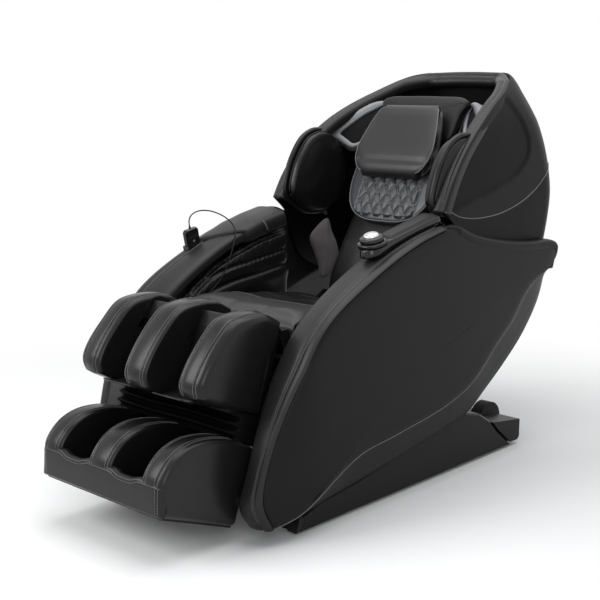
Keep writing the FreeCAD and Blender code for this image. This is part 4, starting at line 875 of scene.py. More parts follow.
def hood_band():
    arch = hood_arch()
    ahead = heading(arch)
    middle = np.array((0, 560.0, 800.0))
    section = spline(HOOD_BAND_SECTION, 60, closed=True)
    rings = []
    sewn = []
    for p, t in zip(arch, ahead):
        blend = np.clip((abs(p[0]) - 110) / 110, 0, 1)
        side = np.array((0.0, abs(t[2]), -abs(t[1])))
        side /= np.linalg.norm(side) + 1e-9
        back = side * blend + np.array((0.0, 0.9, -0.43)) * (1 - blend)
        back -= t * np.dot(back, t)
        back /= np.linalg.norm(back)
        out = np.cross(t, back)
        out *= 1 if np.dot(out, p - middle) > 0 else -1
        rings.append(p - np.outer(section[:, 0], out) + np.outer(section[:, 1], back))
        sewn.append(p - out * 18 - back * 1.4)
    made = shape("hood_band_form", *loft(rings))
    piece(made, "back", "band_brown", ("hood_band",))
    sew("back", np.array(sewn)[4:-4])


hood()
hood_band()


# The legrest

CALF_CREST = [(-34, 34), (-101, 40), (-178, 16), (-222, -13), (-252, -65), (-282, -153), (-284, -205),
              (-262, -234)]
FOOT_CREST = [(-313, -470), (-322, -448), (-322, -430), (-313, -400), (-292, -366), (-252, -334),
              (-196, -313), (-130, -303), (-62, -306)]
CALF_SEAMS = {"middle": (-30, 30), "side": (176, 226)}
FOOT_SEAMS = {"middle": (-31, 31), "side": (182, 226)}


def outline(*stretches):
    """A closed outline, its points evenly spread over each stretch; a number follows each stretch."""
    return np.vstack([even(np.asarray(line, float), count)[:-1] for line, count in stretches])


def pulled(points, distance):
    """A closed outline drawn towards its middle, which a deep shoulder needs to stay free of folds."""
    inward = points.mean(0) - points
    return points + inward / np.linalg.norm(inward, axis=1)[:, None] * distance


LEG_SIDE = 248
# Past this width, a side lobe covers the legrest's side and not only its front.
LEG_EDGE = 229


def ridge(x0, x1, line, edges, crown, draw=inset, sunk=0.0):
    """A padded ridge across x0..x1 with elliptic shoulders: edges are (width, drop) at each side."""
    (w0, d0), (w1, d1) = edges
    low, high = x0 + w0, x1 - w1
    angles = np.linspace(0, math.pi / 2, 8)
    rings = [(x0 + w0 * (1 - math.cos(a)), d0 * (1 - math.sin(a))) for a in angles]
    rings += [(low + (high - low) * t, -crown * math.sin(math.pi * t)) for t in np.linspace(0, 1, 10)[1:-1]]
    rings += [(x1 - w1 * (1 - math.cos(a)), d1 * (1 - math.sin(a))) for a in angles[::-1]]
    return [at_x(x, draw(line, d + sunk)) for x, d in rings]


def side_ridge(x0, front, whole, edges, crown, sunk=0.0):
    """A side lobe's rings, the front's outline up to the legrest's edge and the whole side's from there."""
    lines = ((front, inset), (whole, pulled))
    both = [ridge(x0, LEG_SIDE, line, edges, crown, draw, sunk) for line, draw in lines]
    return [near if near[0][0] <= LEG_EDGE else far for near, far in zip(*both)]


def crest_path(crest, x, count=110):
    return at_x(x, spline(crest, count))


def lobe(part, side, body, rings, crest, seams, turned=np.asarray):
    """A padded ridge of the calf or foot rest, with its sewn seams."""
    node = "%s_lobe_%s" % (part, side)
    verts, faces = loft([turned(in_leg(r)) for r in rings])
    made = shape(node + "_pad", verts, faces)
    modify(made, "SUBSURF", levels=1, render_levels=1)
    settled(made)
    for x in seams:
        path = seam(body, made, turned(in_leg(crest_path(crest, x)))[3:-3], 5.0, 1.8, 4.6)
        sew(body, laid(made, path, -0.4), "dark_piping", 1.3)
    piece(made, body, "lobe", (node,))


def calf_hollow(x, deep):
    """How far a calf well's floor lies behind its edges."""
    return deep * np.sin(math.pi * (x - 36) / 134) ** 0.7


def calf():
    rear = [(-262, -234), (-200, -241), (-141, -240), (-140.5, 7), (-34, 7), (-34, 34)]
    deep = [(-262, -234), (-200, -242), (-34, -240), (-34, 34)]
    front, whole = (outline((spline(CALF_CREST, 90), 64), (behind, 40)) for behind in (rear, deep))
    middle = ridge(-45, 45, front, ((15, 9), (15, 9)), 2.5)
    lobe("calf", "middle", "leg", middle, CALF_CREST, CALF_SEAMS["middle"])
    rings = side_ridge(158, front, whole, ((17, 14), (34, 30)), 2.0, 7)
    for side, turned in LEFT_FIRST:
        lobe("calf", side, "leg", rings, CALF_CREST, CALF_SEAMS["side"], turned)
    for side, turned in LEFT_FIRST:
        rows = []
        for z in np.linspace(8, -238, 44):
            x = np.linspace(38, 168, 22)
            lip = 74 * max(0.0, (-z - 196) / 42) ** 2.2
            y = -142 - lip - calf_hollow(x, 22 * min(1, (8 - z) / 40))
            rows.append(turned(in_leg(np.column_stack([x, y, np.full(22, z)]))))
        made = walled(shape("calf_well_" + side, *grid(rows)), 3)
        x = np.linspace(44, 160, 60)
        rim = np.column_stack([x, -236 - calf_hollow(x, 20), np.full(60, -236.5)])
        sew("leg", turned(in_leg(rim)), "dark_piping", 2.6)
        piece(made, "leg", "black_leather")


def apron_dip(x, spread):
    """1 in front of a foot well and 0 beside it."""
    return math.exp(-((abs(x) - 105) / spread) ** 4)


def apron_rows():
    """The widths at which the foot apron's section is set, and how far its face lies back there."""
    ends = [(247.5 - 25 * (1 - math.cos(a)), 21 * (1 - math.sin(a))) for a in np.linspace(0, math.pi / 2, 9)]
    middle = [(x, 0) for x in np.linspace(218, -218, 81)]
    return ends + middle + [(-x, drop) for x, drop in ends[::-1]]


def apron():
    """The padded front of the footrest."""
    rings = []
    for x, drop in apron_rows():
        top = -441 - 10 * apron_dip(x, 44)
        tuck = 5.0 * (1 - apron_dip(x, 48))
        front = [(-299, -522), (-311, -490), (-319, -466), (-322, -454), (-320 + tuck / 2, top - 2),
                 (-312 + tuck, top + 3)]
        rear = [(-299 + tuck, top + 1), (-290, top - 8), (-284, -480), (-285, -512), (-289, -526)]
        face = [(y + drop * min(1, (-y - 284) / 30), z) for y, z in front] + rear
        rings.append(at_x(x, even(np.vstack([spline(face, 90), [face[0]]]), 72, closed=True)))
    made = shape("foot_apron_pad", *loft([in_leg(r) for r in rings]))
    rim = [(x, -320, -451 - 10 * apron_dip(x, 44)) for x in np.linspace(-236, 236, 220)]
    seam("foot", made, in_leg(rim), 4.5, 1.3, 4.0, (0, 0, 1))
    side = spline([(-292, -522), (-308, -484), (-316, -450), (-312, -440)], 40)
    for x in (-229, 229):
        seam("foot", made, in_leg(at_x(x, side)), 5, 1.5, 4.6)
    piece(made, "foot", "lobe", ("foot_apron",))


def foot():
    low = [(-62, -306), (-61, -496), (-300, -496), (-313, -470)]
    deep = [(-62, -306), (-26, -306), (-26, -525), (-290, -525), (-301, -500), (-313, -470)]
    front, whole = (outline((spline(FOOT_CREST, 90), 64), (behind, 40)) for behind in (low, deep))
    middle = ridge(-45, 45, front, ((15, 11), (15, 11)), 2.0)
    lobe("foot", "middle", "foot", middle, FOOT_CREST[::-1], FOOT_SEAMS["middle"])
    rings = side_ridge(167, front, whole, ((15, 12), (24, 18)), 1.5)
    for side, turned in LEFT_FIRST:
        lobe("foot", side, "foot", rings, FOOT_CREST[::-1], FOOT_SEAMS["side"], turned)
    apron()
    for side, turned in LEFT_FIRST:
        rows = []
        for y in np.linspace(-300, -60, 60):
            z = -494 + 6 * math.exp(-((y + 170) / 26) ** 2) + 30 * max(0.0, (-y - 250) / 50) ** 2
            row = in_leg([(x, y, z) for x in np.linspace(42, 172, 24)])
            rows.append(turned(row))
        made = walled(shape("foot_well_" + side, *grid(rows)), 2)
        piece(made, "foot", "black_leather")


def gap_cloth():
    """The cloth that closes the gap between the calf pads and the footrest. It is cut long enough to reach
    across the gap when the footrest is slid out, so it lies in deep folds while the footrest is in."""
    top, low, slide = -232.0, -304.0, 110.0
    folds, depth, count = 3, 14.0, 110
    plan = spline([(-243, -30), (-243, -80), (-232, -108), (-190, -117), (0, -120), (190, -117), (232, -108),
                   (243, -80), (243, -30)], count)
    lean = 0.5 * np.sin(plan[:, 0] / 55)
    front = np.clip((240 - np.abs(plan[:, 0])) / 14, 0, 1)
    rows = []
    for t in np.linspace(0, 1, 73):
        fold = depth * np.sin(2 * math.pi * folds * t + lean * math.sin(math.pi * t)) * front
        height = np.full(count, top + (low - top) * t)
        rows.append(in_leg(np.column_stack([plan[:, 0], plan[:, 1] - fold, height])))
    made = walled(shape("gap_cloth", *grid(rows)), 1.2)
    made.data.materials.clear()
    made.data.materials.append(extra["curtain"])
    made.data.shade_smooth()
    start, end = (metres(in_leg([(0, -118, z)]))[0] for z in (top, low))
    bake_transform(made)


calf()
foot()
gap_cloth()


# The seat

def seat_bow(x, y):
    """A line across the seat that bows forward towards both arms."""
    return y - 56 * (x / 250) ** 2


def seat():
    """The seat's cushion, with a few soft creases where it is sat on, and the flap over its front."""
    made = stuffed(cad_copy("seat_cushion", "seat_pad"), voxel=7, shrink=4, cap=12)
    points = coords(made)
    rng = np.random.default_rng(7)
    relief = np.zeros(len(points))
    for _ in range(34):
        x0, y0 = rng.uniform(-230, 230), rng.uniform(-150, 190)
        angle, long = rng.uniform(-0.5, 0.5), rng.uniform(50, 130)
        wide, deep = rng.uniform(5, 11), rng.uniform(0.8, 2.4)
        dx, dy = points[:, 0] - x0, points[:, 1] - y0
        u = dx * math.cos(angle) + dy * math.sin(angle)
        v = dy * math.cos(angle) - dx * math.sin(angle)
        relief += deep * np.exp(-(u / long) ** 2) * np.cos(v / wide * 1.6) * np.exp(-(v / wide / 1.6) ** 2)
    relief *= normals(made)[:, 2].clip(0, 1)
    set_coords(made, points + normals(made) * relief[:, None])
    path = laid(made, [(x, seat_bow(x, -96), 552) for x in np.linspace(-242, 242, 140)])
    groove(made, path, 9, 3.5)
    piece(made, "seat", "black_leather", ("seat_cushion",))
    seat_flap(made)


def seat_flap(pad):
    """The leather flap laid over the front of the seat's pad."""
    columns = []
    for x in np.linspace(-243, 243, 90):
        profile = [(seat_bow(x, -98), 553), (-205, 556), (-262, 557.5), (-284, 552), (-296, 534), (-298, 500)]
        columns.append(at_x(x, even(np.array(profile, float), 40)))
    flap = shape("seat_flap", *grid(list(np.swapaxes(columns, 0, 1))))
    path = coords(flap)
    lifted = laid(pad, path, 2.6)
    hanging = path[:, 1] < -275
    lifted[hanging, 1] = np.minimum(lifted[hanging, 1], path[hanging, 1])
    lifted[:, 2] += 1.1 * np.sin(path[:, 0] / 26.0) * np.clip((path[:, 1] + 210) / 80, 0, 1)
    set_coords(flap, lifted)
    piece(eased(walled(flap, 3.2), 4), "seat", "seat_flap")
    sew("seat", laid(flap, [(x, seat_bow(x, -104), 560) for x in np.linspace(-238, 238, 150)], 0.3))


LINING_LINES = ([(-330, 508), (-255, 570), (-161, 630), (-66, 668), (34, 678), (111, 696), (215, 716)],
                [(-300, 500), (-200, 566), (-78, 606), (33, 622), (116, 634), (215, 648)],
                [(-220, 520), (-120, 552), (-38, 568), (73, 580), (159, 592), (215, 598)])


def linings():
    """The quilted pads inside the arms, pressed in along three seams."""
    made = stuffed(cad_copy("arm_linings", "arm_lining_pads"), voxel=7, shrink=3, cap=7)
    points = coords(made)
    upper, middle, lower = (np.array(line, float) for line in LINING_LINES)
    y, z = points[:, 1], points[:, 2]
    bands = [np.interp(y, line[:, 0], line[:, 1]) for line in (upper, middle, lower)]
    inner = (np.abs(points[:, 0]) < ARM_CLEAR + 16) & (y > -330)
    quilt = inner & (z < bands[0] - 4) & (z > bands[2] + 4)
    u, v = y / 17.0 + z / 15.0, y / 17.0 - z / 15.0
    line = np.minimum(np.abs(u - np.round(u)), np.abs(v - np.round(v)))
    puff = (1 - np.clip(1 - line / 0.3, 0, 1) ** 2) * 1.6 * quilt
    gusset = 7 * np.exp(-((z - bands[2] + 26) / 24) ** 2) * inner * np.clip((y + 250) / 90, 0, 1)
    set_coords(made, points + normals(made) * (puff + gusset)[:, None])
    for turned in (np.asarray, mirrored):
        for line, deep in zip(LINING_LINES, (6, 7, 6)):
            path = laid(made, turned(at_x(262, spline(line, 110))))
            groove(made, path, 10, deep)
    piece(made, "seat", "black_leather", ("arm_linings",))


ARMREST_SECTION = [(258, -34), (253, -22), (253, -6), (258, 7), (268, 14.5), (286, 18), (310, 20),
                   (335, 19.5), (358, 18), (376, 14.5), (387, 8), (388.5, 1), (384, -2), (360, -3),
                   (320, -3), (290, -10), (275, -28)]


def armrest():
    """The raised pad buttoned over the right arm's band."""
    section = spline(ARMREST_SECTION, 72, closed=True)
    mid = section.mean(0)
    round_end = 0.045
    rings = []
    for t in np.linspace(0, 1, 76):
        near = min(t, 1 - t, round_end) / round_end
        end = math.sqrt(1 - (1 - near) ** 2)
        own = mid + (section - mid) * (0.86 + 0.14 * end, 0.55 + 0.45 * end)
        ring = []
        for x, rise in own:
            wide = np.clip((x - 258) / 125, 0, 1)
            front = 12 - 122 * wide ** 0.8
            line = arm_rail(x)
            y = front + (192 - front) * t
            z = np.interp(y, line[:, 0], line[:, 1])
            slope = (np.interp(y + 2, line[:, 0], line[:, 1]) - z) / 2
            run = math.hypot(1, slope)
            ring.append((x, y - rise * slope / run, z + rise / run))
        rings.append(drawn_in(np.array(ring)))
    made = shape("armrest_pad", *loft([mirrored(r) for r in rings]))
    points = coords(made)
    wave = 1.0 * np.sin(points[:, 1] / 15.0 + points[:, 0] / 30.0) * (points[:, 2] > 0)
    set_coords(made, points + normals(made) * (wave * np.exp(-((points[:, 1] - 20) / 70) ** 2))[:, None])
    path = laid(made, mirrored([(284 - 4 * t, 20 + 168 * t, 700 + 60 * t) for t in np.linspace(0, 1, 80)]))
    groove(made, path, 6, 1.4)
    piece(made, "seat", "charcoal_leather")
    tab = laid(made, mirrored([(262 - 3 * t, 88 + 14 * t, 742 - 26 * t) for t in np.linspace(0, 1, 12)]), 1.0)
    sew("seat", tab, "piping", 2.2)


def arm_rail(x):
    t = (x - ARM_CLEAR) / (ARM_OUTER - ARM_CLEAR)
    return spline(INNER_EDGE, 90) * (1 - t) + spline(SEAM, 90) * t


# The backrest

SHOULDER_EGG = [(236, 824), (248, 892), (278, 950), (318, 994), (372, 1014), (430, 1003), (474, 962),
                (500, 902), (496, 838), (457, 784), (410, 760), (350, 758), (290, 777)]
BOLSTER = [(36, 308), (60, 276), (92, 240), (112, 205), (112, 172), (102, 128), (84, 112), (60, 150),
           (30, 188), (2, 224), (8, 262)]


HEADREST = [(-150, 622), (-134, 604), (134, 604), (150, 622), (158, 700), (172, 742), (150, 757), (60, 762),
            (-60, 762), (-150, 757), (-172, 742), (-158, 700)]


def back():
    """The backrest's long pad. Its rear stays flat, so that the rollers behind it run clear."""
    made = stuffed(cad_copy("back_cushion", "back_pad"), voxel=7, shrink=4, cap=12)
    flat = turn_back(coords(made))
    rear = turn_back(coords(nodes["back_cushion"]))[:, 1].max() - 1
    flat[:, 1] = np.minimum(flat[:, 1], rear)
    set_coords(made, in_back(flat))
    piece(made, "back", "black_leather", ("back_cushion",))


def hip_bolster(name, turned, replaced):
    def place(u, v, h):
        x = -258 + 0.577 * u + 0.817 * h
        y = -50 + 0.817 * u - 0.577 * h
        return turned(in_back(np.column_stack([x, y, v])))

    made = crowned("hip_bolster_" + name, spline(BOLSTER, 90, closed=True), place, 26, 7, 10)
    piece(made, "back", "suede", replaced)


def shoulder(name, turned, replaced):
    """The egg shaped pad beside the shoulder, on a rounded flange with a line of piping between."""
    egg = spline(SHOULDER_EGG, 120, closed=True)

    def place(u, v, h):
        return turned(at_x(-262.0 + h, np.column_stack([u, v])))

    made = crowned("shoulder_pad_" + name, egg, place, 44, 13, 20)
    points = coords(made)
    fold = 1.3 * np.sin(points[:, 1] / 23 + points[:, 2] / 41) * np.exp(-((points[:, 2] - 800) / 60) ** 2)
    set_coords(made, points + normals(made) * fold[:, None])
    piece(made, "back", "lobe", replaced)
    flange, thick = inset(egg, -7), 9
    rings = [turned(at_x(-296 + thick * math.cos(a), inset(flange, thick * math.sin(a))))
             for a in np.linspace(0, 2 * math.pi, 15)]
    made = shape("shoulder_flange_" + name, *loft(rings, ends=False))
    piece(made, "back", "lobe")
    sew("back", turned(at_x(-279.0, inset(egg, -1.5))), "dark_piping", 2.2)


def headrest():
    made = crowned("headrest_cushion", spline(HEADREST, 120, closed=True), facing(-24.0), 30, 7, 16)
    piece(made, "back", "black_leather", ("headrest_pad",))


def facing(front):
    """The way to set points on the backrest's face, given as (across, up, out from the face)."""
    return lambda u, v, h: in_back(np.column_stack([u, np.full(len(u), front - h), v]))


def hood_lining():
    """The padded lining under the hood, with nine soft pleats."""
    made = stuffed(cad_copy("hood_lining", "hood_lining_pad"), voxel=8, shrink=2, cap=4, ease=4)
    points = coords(made)
    z = points[:, 2]
    pleats = np.zeros(len(points))
    for x0 in range(-240, 241, 60):
        off = points[:, 0] - x0 - 0.4 * (z - 1110)
        pleats += 2.6 * np.exp(-(off / 9) ** 2) * np.exp(-((z - 1120) / 45) ** 2)
    set_coords(made, points + normals(made) * (pleats * (points[:, 1] > 560))[:, None])
    piece(made, "back", "black_leather", ("hood_lining",))


QUILT_EDGE = [(0, 308), (72, 312), (120, 331), (152, 366), (168, 415), (172, 462), (168, 500),
              (150, 512), (0, 514), (-150, 512), (-168, 500), (-172, 462), (-168, 415), (-152, 366),
              (-120, 331), (-72, 312)]


def quilt():
    """The quilted cushion below the neck pillow, with its diamonds sewn inside a plain border."""
    line = spline(QUILT_EDGE, 160, closed=True)
    place = facing(-41.0)
    made = remeshed(crowned("quilt_cushion", line, place, 28, 4, 12), 2.6)
    points = coords(made)
    flat = turn_back(points)
    x, deep, up = flat[:, 0], flat[:, 1], flat[:, 2]
    pitch, lean = 43.0, 0.64
    u, v = (x + (up - 400) * lean) / pitch, (x - (up - 400) * lean) / pitch
    near = np.minimum(np.abs(u - np.round(u)), np.abs(v - np.round(v)))
    face = np.clip((-deep - 40) / 3, 0, 1)
    field = np.clip((117 - np.abs(x)) / 2.5, 0, 1) * np.clip((up - 322) / 6, 0, 1) * face
    puff = (1 - np.clip(1 - near / 0.34, 0, 1) ** 2) * 6.5 * field
    puff -= np.exp(-(near / 0.04) ** 2) * 2.0 * field
    border = np.exp(-((np.abs(x) - 119) / 2.4) ** 2) * face * 2.4
    set_coords(made, points + normals(made) * (puff - border)[:, None])
    piece(made, "back", "quilted_leather", ("quilt_pad",))
    rim = inset(line, 1.2)
    rim = np.vstack([rim, rim[:1]])
    sew("back", place(rim[:, 0], rim[:, 1], -1.0), "piping", 2.0)
    for side in (-1, 1):
        sew("back", laid(made, in_back([(side * 123, -60, z) for z in np.linspace(330, 500, 80)]), 0.2))
    for k in range(-7, 8):
        for way in (lean, -lean):
            row = [(k * pitch - way * (z - 400), -60, z) for z in np.linspace(326, 508, 90)]
            row = [p for p in row if abs(p[0]) < 116]
            if len(row) > 8:
                sew("back", laid(made, in_back(row), 0.15))


PILLOW_SIDE = [(108, 695), (121, 686), (136, 640), (152, 572), (157, 540), (151, 500), (134, 470), (114, 456)]
PILLOW_FACE = [(-52, 697), (-62, 703), (-76, 697), (-85, 672), (-92, 620), (-97, 560), (-98, 510),
               (-97, 486), (-90, 462), (-74, 449), (-58, 452), (-50, 470), (-48, 520), (-46, 600),
               (-48, 680)]


def pillow():
    face = even(spline(PILLOW_FACE, 150, closed=True), 110)
    side = np.array(PILLOW_SIDE, float)
    rings = []
    for t in np.linspace(-1, 1, 61):
        ring = []
        for y, z in face:
            wide = np.interp(z, side[::-1, 1], side[::-1, 0])
            end = abs(t) ** 7
            puffed = -72 + (y + 72) * (1 - 0.3 * end)
            ring.append((t * wide * (1 - 0.02 * end), puffed, z))
        rings.append(np.array(ring))
    made = shape("neck_pillow", *loft([in_back(r) for r in rings]))
    valley = in_back([(x, -110, 497) for x in np.linspace(-128, 128, 120)])
    groove(made, laid(made, valley), 15, 3.2)
    modify(made, "SUBSURF", levels=1, render_levels=1)
    settled(made)
    piece(made, "pillow", "pillow", ("head_pillow",))
    for sign in (1, -1):
        edge = [(sign * (x - 2), -92, z) for x, z in spline(PILLOW_SIDE, 80)]
        sew("pillow", laid(made, in_back(edge), 0.2), "piping", 1.7)
    top = in_back([(x, -70, 702) for x in np.linspace(-106, 106, 60)])
    sew("pillow", laid(made, top, 0.2), "piping", 1.5)


SPEAKER_OUT = [(-11, 583), (2, 612), (23, 648), (48, 683), (73, 711), (94, 731), (114, 744), (138, 752),
               (158, 751), (170, 742), (172, 715), (156, 660), (126, 604), (104, 576), (89, 565),
               (75, 561), (50, 567), (22, 576), (-2, 578)]
SPEAKER_IN = [(28, 604), (42, 626), (61, 653), (88, 688), (118, 717), (138, 735), (149, 736), (156, 728),
              (156, 706), (142, 664), (114, 612), (94, 586), (84, 579), (76, 578), (60, 584), (46, 590),
              (34, 595), (27, 598)]


def speakers():
    out, hole = spline(SPEAKER_OUT, 150, closed=True), spline(SPEAKER_IN, 150, closed=True)
    for name, turned in RIGHT_FIRST:
        def place(line, h):
            u, v = line[:, 0], line[:, 1]
            p = in_back(np.column_stack([-298 + 0.853 * u + 0.522 * h, -72 + 0.522 * u - 0.853 * h, v]))
            # The frame stays inside the hood's side.
            p[:, 0] = np.maximum(p[:, 0], 17 - hood_width(p[:, 2]))
            return turned(p)

        rings = [place(inset(out, -0.5), -34), place(out, -2), place(inset(out, 0.8), 2)]
        for t, h in ((0.18, 4.2), (0.5, 5.5), (0.82, 4.0), (0.97, 1.6), (1, -3), (1, -8)):
            rings.append(place(out * (1 - t) + hole * t, h))
        made = shape("speaker_frame_" + name, *loft(rings, ends=False))
        piece(made, "back", "silver_plastic", ("speakers",) if name == "right" else ())
        cloth = inset(hole, -1.5)
        mid = cloth.mean(0)
        rings = [place(cloth, -9)]
        for s in (1, 0.9, 0.75, 0.55, 0.35, 0.15):
            rings.append(place(mid + (cloth - mid) * s, -4 + 3.5 * (1 - s * s)))
        piece(shape("speaker_cloth_" + name, *loft(rings)), "back", "grille")


seat()
linings()
armrest()
back()
for side_name, turned_side in RIGHT_FIRST:
    first = side_name == "right"
    hip_bolster(side_name, turned_side, ("side_bolsters",) if first else ())
    shoulder(side_name, turned_side, ("shoulder_pads",) if first else ())
headrest()
hood_lining()
quilt()
pillow()
speakers()


# The console and its knob

# The console's upper and lower lines along the arm, its section as shares of its half width and height,
# and the outline of the leather pad on it.
CONSOLE_TOP = np.array([(-98, 719), (-92, 730), (-80, 738), (-58, 744), (-20, 751), (10, 757), (100, 777),
                        (190, 797), (212, 800), (221, 791)], float)
CONSOLE_LOW = np.array([(-98, 704), (-60, 712), (0, 733), (100, 758), (212, 778), (221, 786)], float)
CONSOLE_SECTION = [(-1, 0), (-1, 0.7), (-0.93, 0.93), (-0.8, 1), (0, 1), (0.8, 1), (0.93, 0.93), (1, 0.7),
                   (1, 0), (0, -0.1)]
CONSOLE_PAD = [(283, -8), (281, 0), (281, 190), (285, 202), (331, 204), (335, 192), (335, 30), (334, -4),
               (318, -12), (300, -12)]
CONSOLE_HALF = 32.0
NOSE = 38.0


def console():
    """The left arm's console: a glossy housing with a round nose under the knob, and a leather pad."""
    nose = NOSE * (1 - np.cos(np.linspace(0.12, math.pi / 2, 14))) - 96
    rings = []
    for y in [*nose, *np.linspace(-50, 216, 60), 220]:
        half = CONSOLE_HALF
        if y <= -58:
            half *= math.sqrt(max(30.0, NOSE ** 2 - (y + 58) ** 2)) / NOSE
        half *= 1 - 0.25 * max(0.0, (y - 206) / 14) ** 2
        high, base = (np.interp(y, line[:, 0], line[:, 1]) for line in (CONSOLE_TOP, CONSOLE_LOW))
        ring = [(308 + half * a, base + (high - base) * b) for a, b in CONSOLE_SECTION]
        ring = spline(ring, 44, closed=True)
        rings.append(np.column_stack([ring[:, 0], np.full(44, y), ring[:, 1]]))
    made = shape("console_housing", *loft(rings))
    piece(made, "seat", "gloss_plastic", ("arm_console",))

    def place(u, v, h):
        return np.column_stack([u, v, np.interp(v, CONSOLE_TOP[:, 0], CONSOLE_TOP[:, 1]) + 3.5 + h])

    made = crowned("console_pad", spline(CONSOLE_PAD, 130, closed=True), place, 5, 2.5, 7)
    piece(made, "seat", "charcoal_leather")


KNOB_SEAT = np.array((306, -58, 748.0))
KNOB_AXIS = np.array((0, -0.26, 0.966))


def lathe(profile, seat, axis, sides=64, wobble=None):
    """A turned form on an axis: (radius, height) pairs; wobble changes the radius round it."""
    axis = np.asarray(axis) / np.linalg.norm(axis)
    u = np.array((1.0, 0, 0))
    v = np.cross(axis, u)
    a = np.arange(sides) * 2 * math.pi / sides
    rings = []
    for r, h in profile:
        rr = r + (wobble(a, r, h) if wobble else 0 * a)
        rings.append(seat + axis * h + (rr * np.cos(a))[:, None] * u + (rr * np.sin(a))[:, None] * v)
    return loft(rings)


def knob():
    ribs = lambda a, r, h: np.where(4 < h < 12, 0.5 * np.sign(np.sin(a * 48)), 0)
    body = [(7, -16), (7, 1), (31, 1.5), (33.5, 3), (34, 5), (34, 11), (32.4, 13.6), (29, 15), (24, 15.8),
            (22, 14.6)]
    made = shape("knob_ring", *lathe(body, KNOB_SEAT, KNOB_AXIS, 192, ribs))
    piece(made, "knob", "gloss_plastic")
    dome = [(22.4, 10), (22.4, 18), (21.6, 21), (18.6, 23.6), (13, 25.6), (7, 26.6), (2.5, 26.8)]
    made = shape("knob_dome", *lathe(dome, KNOB_SEAT, KNOB_AXIS))
    piece(made, "knob", "chrome_trim", ("control_knob",))
    base = [(41, -12), (42, -3), (41, 0), (38, 1.2), (30, 1.3)]
    piece(shape("knob_base", *lathe(base, KNOB_SEAT, KNOB_AXIS)), "seat", "gloss_plastic")


console()
knob()


def plate():
    """The bare plate on the base's left side."""
    base = nodes["base_frame"]
    corners = [(np.array(base.matrix_world @ v.co) / MM + DATUM).tolist() for v in base.data.vertices]
    tree = BVHTree.FromPolygons(corners, [tuple(p.vertices) for p in base.data.polygons])
    rows = []
    for z in np.linspace(37, 62, 6):
        row = []
        for y in np.linspace(352, 446, 20):
            hit = tree.ray_cast(Vector((600, y, z)), Vector((-1, 0, 0)))[0]
            row.append((hit[0] if hit else 340, y, z))
        rows.append(np.array(row) + (0.9, 0, 0))
    piece(walled(shape("base_plate", *grid(rows)), 1.4), "base", "plate", smooth=False)


plate()


# Piping and stitches, one mesh for each body

def sew_all():
    for (body, kind), parts in piping.items():
        piece(shape("%s_%s" % (kind, body), *joined(*parts)), body, kind)
    for body, lines in stitch_lines.items():
        stitches(body, lines)


# A stitch, in metres: the way from one to the next, and a thread's radius and length.
STITCH = {"Pitch": 0.0062, "Thread": 0.0007, "Length": 0.0042}


def stitches(body, lines):
    """Rows of thread stitches along the body's sewn lines."""
    data = bpy.data.curves.new("stitch_lines_" + body, "CURVE")
    data.dimensions = "3D"
    for line in lines:
        made = data.splines.new("POLY")
        made.points.add(len(line) - 1)
        for point, place in zip(made.points, metres(line)):
            point.co = (*place, 1)
    rows = bpy.data.objects.new("stitches_" + body, data)
    scene.collection.objects.link(rows)
    tree = bpy.data.node_groups.new("stitch_rows", "GeometryNodeTree")
    tree.interface.new_socket("Geometry", in_out="INPUT", socket_type="NodeSocketGeometry")
    sizes = {}
    for name, value in STITCH.items():
        socket = tree.interface.new_socket(name, in_out="INPUT", socket_type="NodeSocketFloat")
        socket.default_value = value
        sizes[name] = (socket.identifier, value)
    tree.interface.new_socket("Geometry", in_out="OUTPUT", socket_type="NodeSocketGeometry")

    def node(kind, links, **settings):
        made = tree.nodes.new(kind)
        for key, value in settings.items():
            setattr(made, key, value)
        for key, value in links.items():
            if hasattr(value, "is_output"):
                tree.links.new(value, made.inputs[key])
            else:
                made.inputs[key].default_value = value
        return made

    given = node("NodeGroupInput", {})
    pitch, radius, length = (given.outputs[name] for name in STITCH)
    spaced = node("GeometryNodeResampleCurve", {"Curve": given.outputs[0], "Length": pitch}, mode="LENGTH")
    thread = node("GeometryNodeMeshCylinder", {"Vertices": 5, "Radius": radius, "Depth": length})
    tangent = node("GeometryNodeInputTangent", {})
    aim = node("FunctionNodeAlignRotationToVector", {"Vector": tangent.outputs[0]}, axis="Z")
    values = {"Points": spaced.outputs[0], "Instance": thread.outputs["Mesh"], "Rotation": aim.outputs[0]}
    placed = node("GeometryNodeInstanceOnPoints", values)
    real = node("GeometryNodeRealizeInstances", {"Geometry": placed.outputs[0]})
    dyed = node("GeometryNodeSetMaterial", {"Geometry": real.outputs[0], "Material": extra["thread"]})
    node("NodeGroupOutput", {0: dyed.outputs[0]})
    grow = rows.modifiers.new("stitch", "NODES")
    grow.node_group = tree
    for identifier, value in sizes.values():
        grow[identifier] = value
    mesh = bpy.data.meshes.new_from_object(rows.evaluated_get(bpy.context.evaluated_depsgraph_get()))
    bpy.data.objects.remove(rows)
    made = bpy.data.objects.new("stitches_" + body, mesh)
    scene.collection.objects.link(made)
    piece(made, body, "thread")


sew_all()


# The lead, and what stays of the model as it is, get the finish of their slot.

def finish_nodes():
    lead.data.materials.append(finishes["rubber_black"])
    for part in frame["record"]["subparts"]:
        made = nodes[part["node"]]
        made.data.materials.clear()
        made.data.materials.append(finishes[part["material_slot"]])


finish_nodes()


# Floor, backdrop and light

def seen_rays(tree):
    """1 for the rays that show the background: the camera's own, and those in metal and glass."""
    path = tree.nodes.new("ShaderNodeLightPath")
    total = path.outputs["Is Camera Ray"]
    for name in ("Is Glossy Ray", "Is Transmission Ray"):
        more = tree.nodes.new("ShaderNodeMath")
        more.operation = "MAXIMUM"
        tree.links.new(total, more.inputs[0])
        tree.links.new(path.outputs[name], more.inputs[1])
        total = more.outputs[0]
    return total


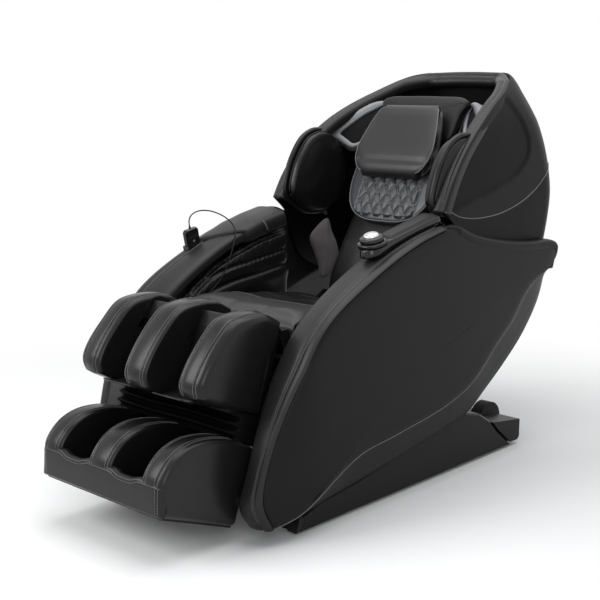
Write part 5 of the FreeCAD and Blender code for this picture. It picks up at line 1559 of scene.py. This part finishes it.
def stage():
    """A pale floor that turns into the white background at a distance."""
    half = 9000
    corners = [(-half, -half, 0), (half, -half, 0), (half, half, 0), (-half, half, 0)]
    floor = shape("floor", corners, [(0, 1, 2, 3)])
    ground = Finish("pale_floor", Roughness=0.9, Specular_IOR_Level=0.1)
    far = ground.node("ShaderNodeVectorMath", {"operation": "LENGTH"}, {0: ground.place}, 1)
    mottle = ground.noise(2.5, 3)
    ground.feed("Base Color", ground.mix(mottle, (0.89, 0.89, 0.89), (0.91, 0.91, 0.91)))
    tree = ground.tree
    white = tree.nodes.new("ShaderNodeEmission")
    mix = tree.nodes.new("ShaderNodeMixShader")
    tree.links.new((far.step(1.0, 2.2) * Socket(ground, seen_rays(tree))).link, mix.inputs[0])
    tree.links.new(ground.shader.outputs[0], mix.inputs[1])
    tree.links.new(white.outputs[0], mix.inputs[2])
    tree.links.new(mix.outputs[0], tree.nodes["Material Output"].inputs["Surface"])
    floor.data.materials.append(ground.material)
    world = bpy.data.worlds.new("studio")
    scene.world = world
    world.use_nodes = True
    tree = world.node_tree
    dim = tree.nodes["Background"]
    dim.inputs["Color"].default_value = (0.92, 0.94, 0.96, 1)
    dim.inputs["Strength"].default_value = 0.45
    white = tree.nodes.new("ShaderNodeBackground")
    white.inputs["Color"].default_value = (1, 1, 1, 1)
    mix = tree.nodes.new("ShaderNodeMixShader")
    tree.links.new(seen_rays(tree), mix.inputs[0])
    tree.links.new(dim.outputs[0], mix.inputs[1])
    tree.links.new(white.outputs[0], mix.inputs[2])
    tree.links.new(mix.outputs[0], tree.nodes["World Output"].inputs["Surface"])


def lamp(name, place, aim, size, power):
    data = bpy.data.lights.new(name, "AREA")
    data.shape = "RECTANGLE"
    data.size, data.size_y = size
    data.energy = power
    made = bpy.data.objects.new(name, data)
    made.location = place
    made.rotation_euler = (Vector(aim) - Vector(place)).to_track_quat("-Z", "Y").to_euler()
    scene.collection.objects.link(made)


stage()
lamp("key", (-1.6, -3.2, 2.6), (0, 0, 0.6), (2.2, 2.2), 90)
lamp("top", (0.2, 0.1, 3.6), (0, 0, 0.5), (3.4, 3.4), 85)
lamp("side", (2.9, -2.7, 1.7), (0, -0.1, 0.6), (1.4, 2.0), 26)
scene.view_settings.view_transform = "Standard"

bpy.context.view_layer.update()
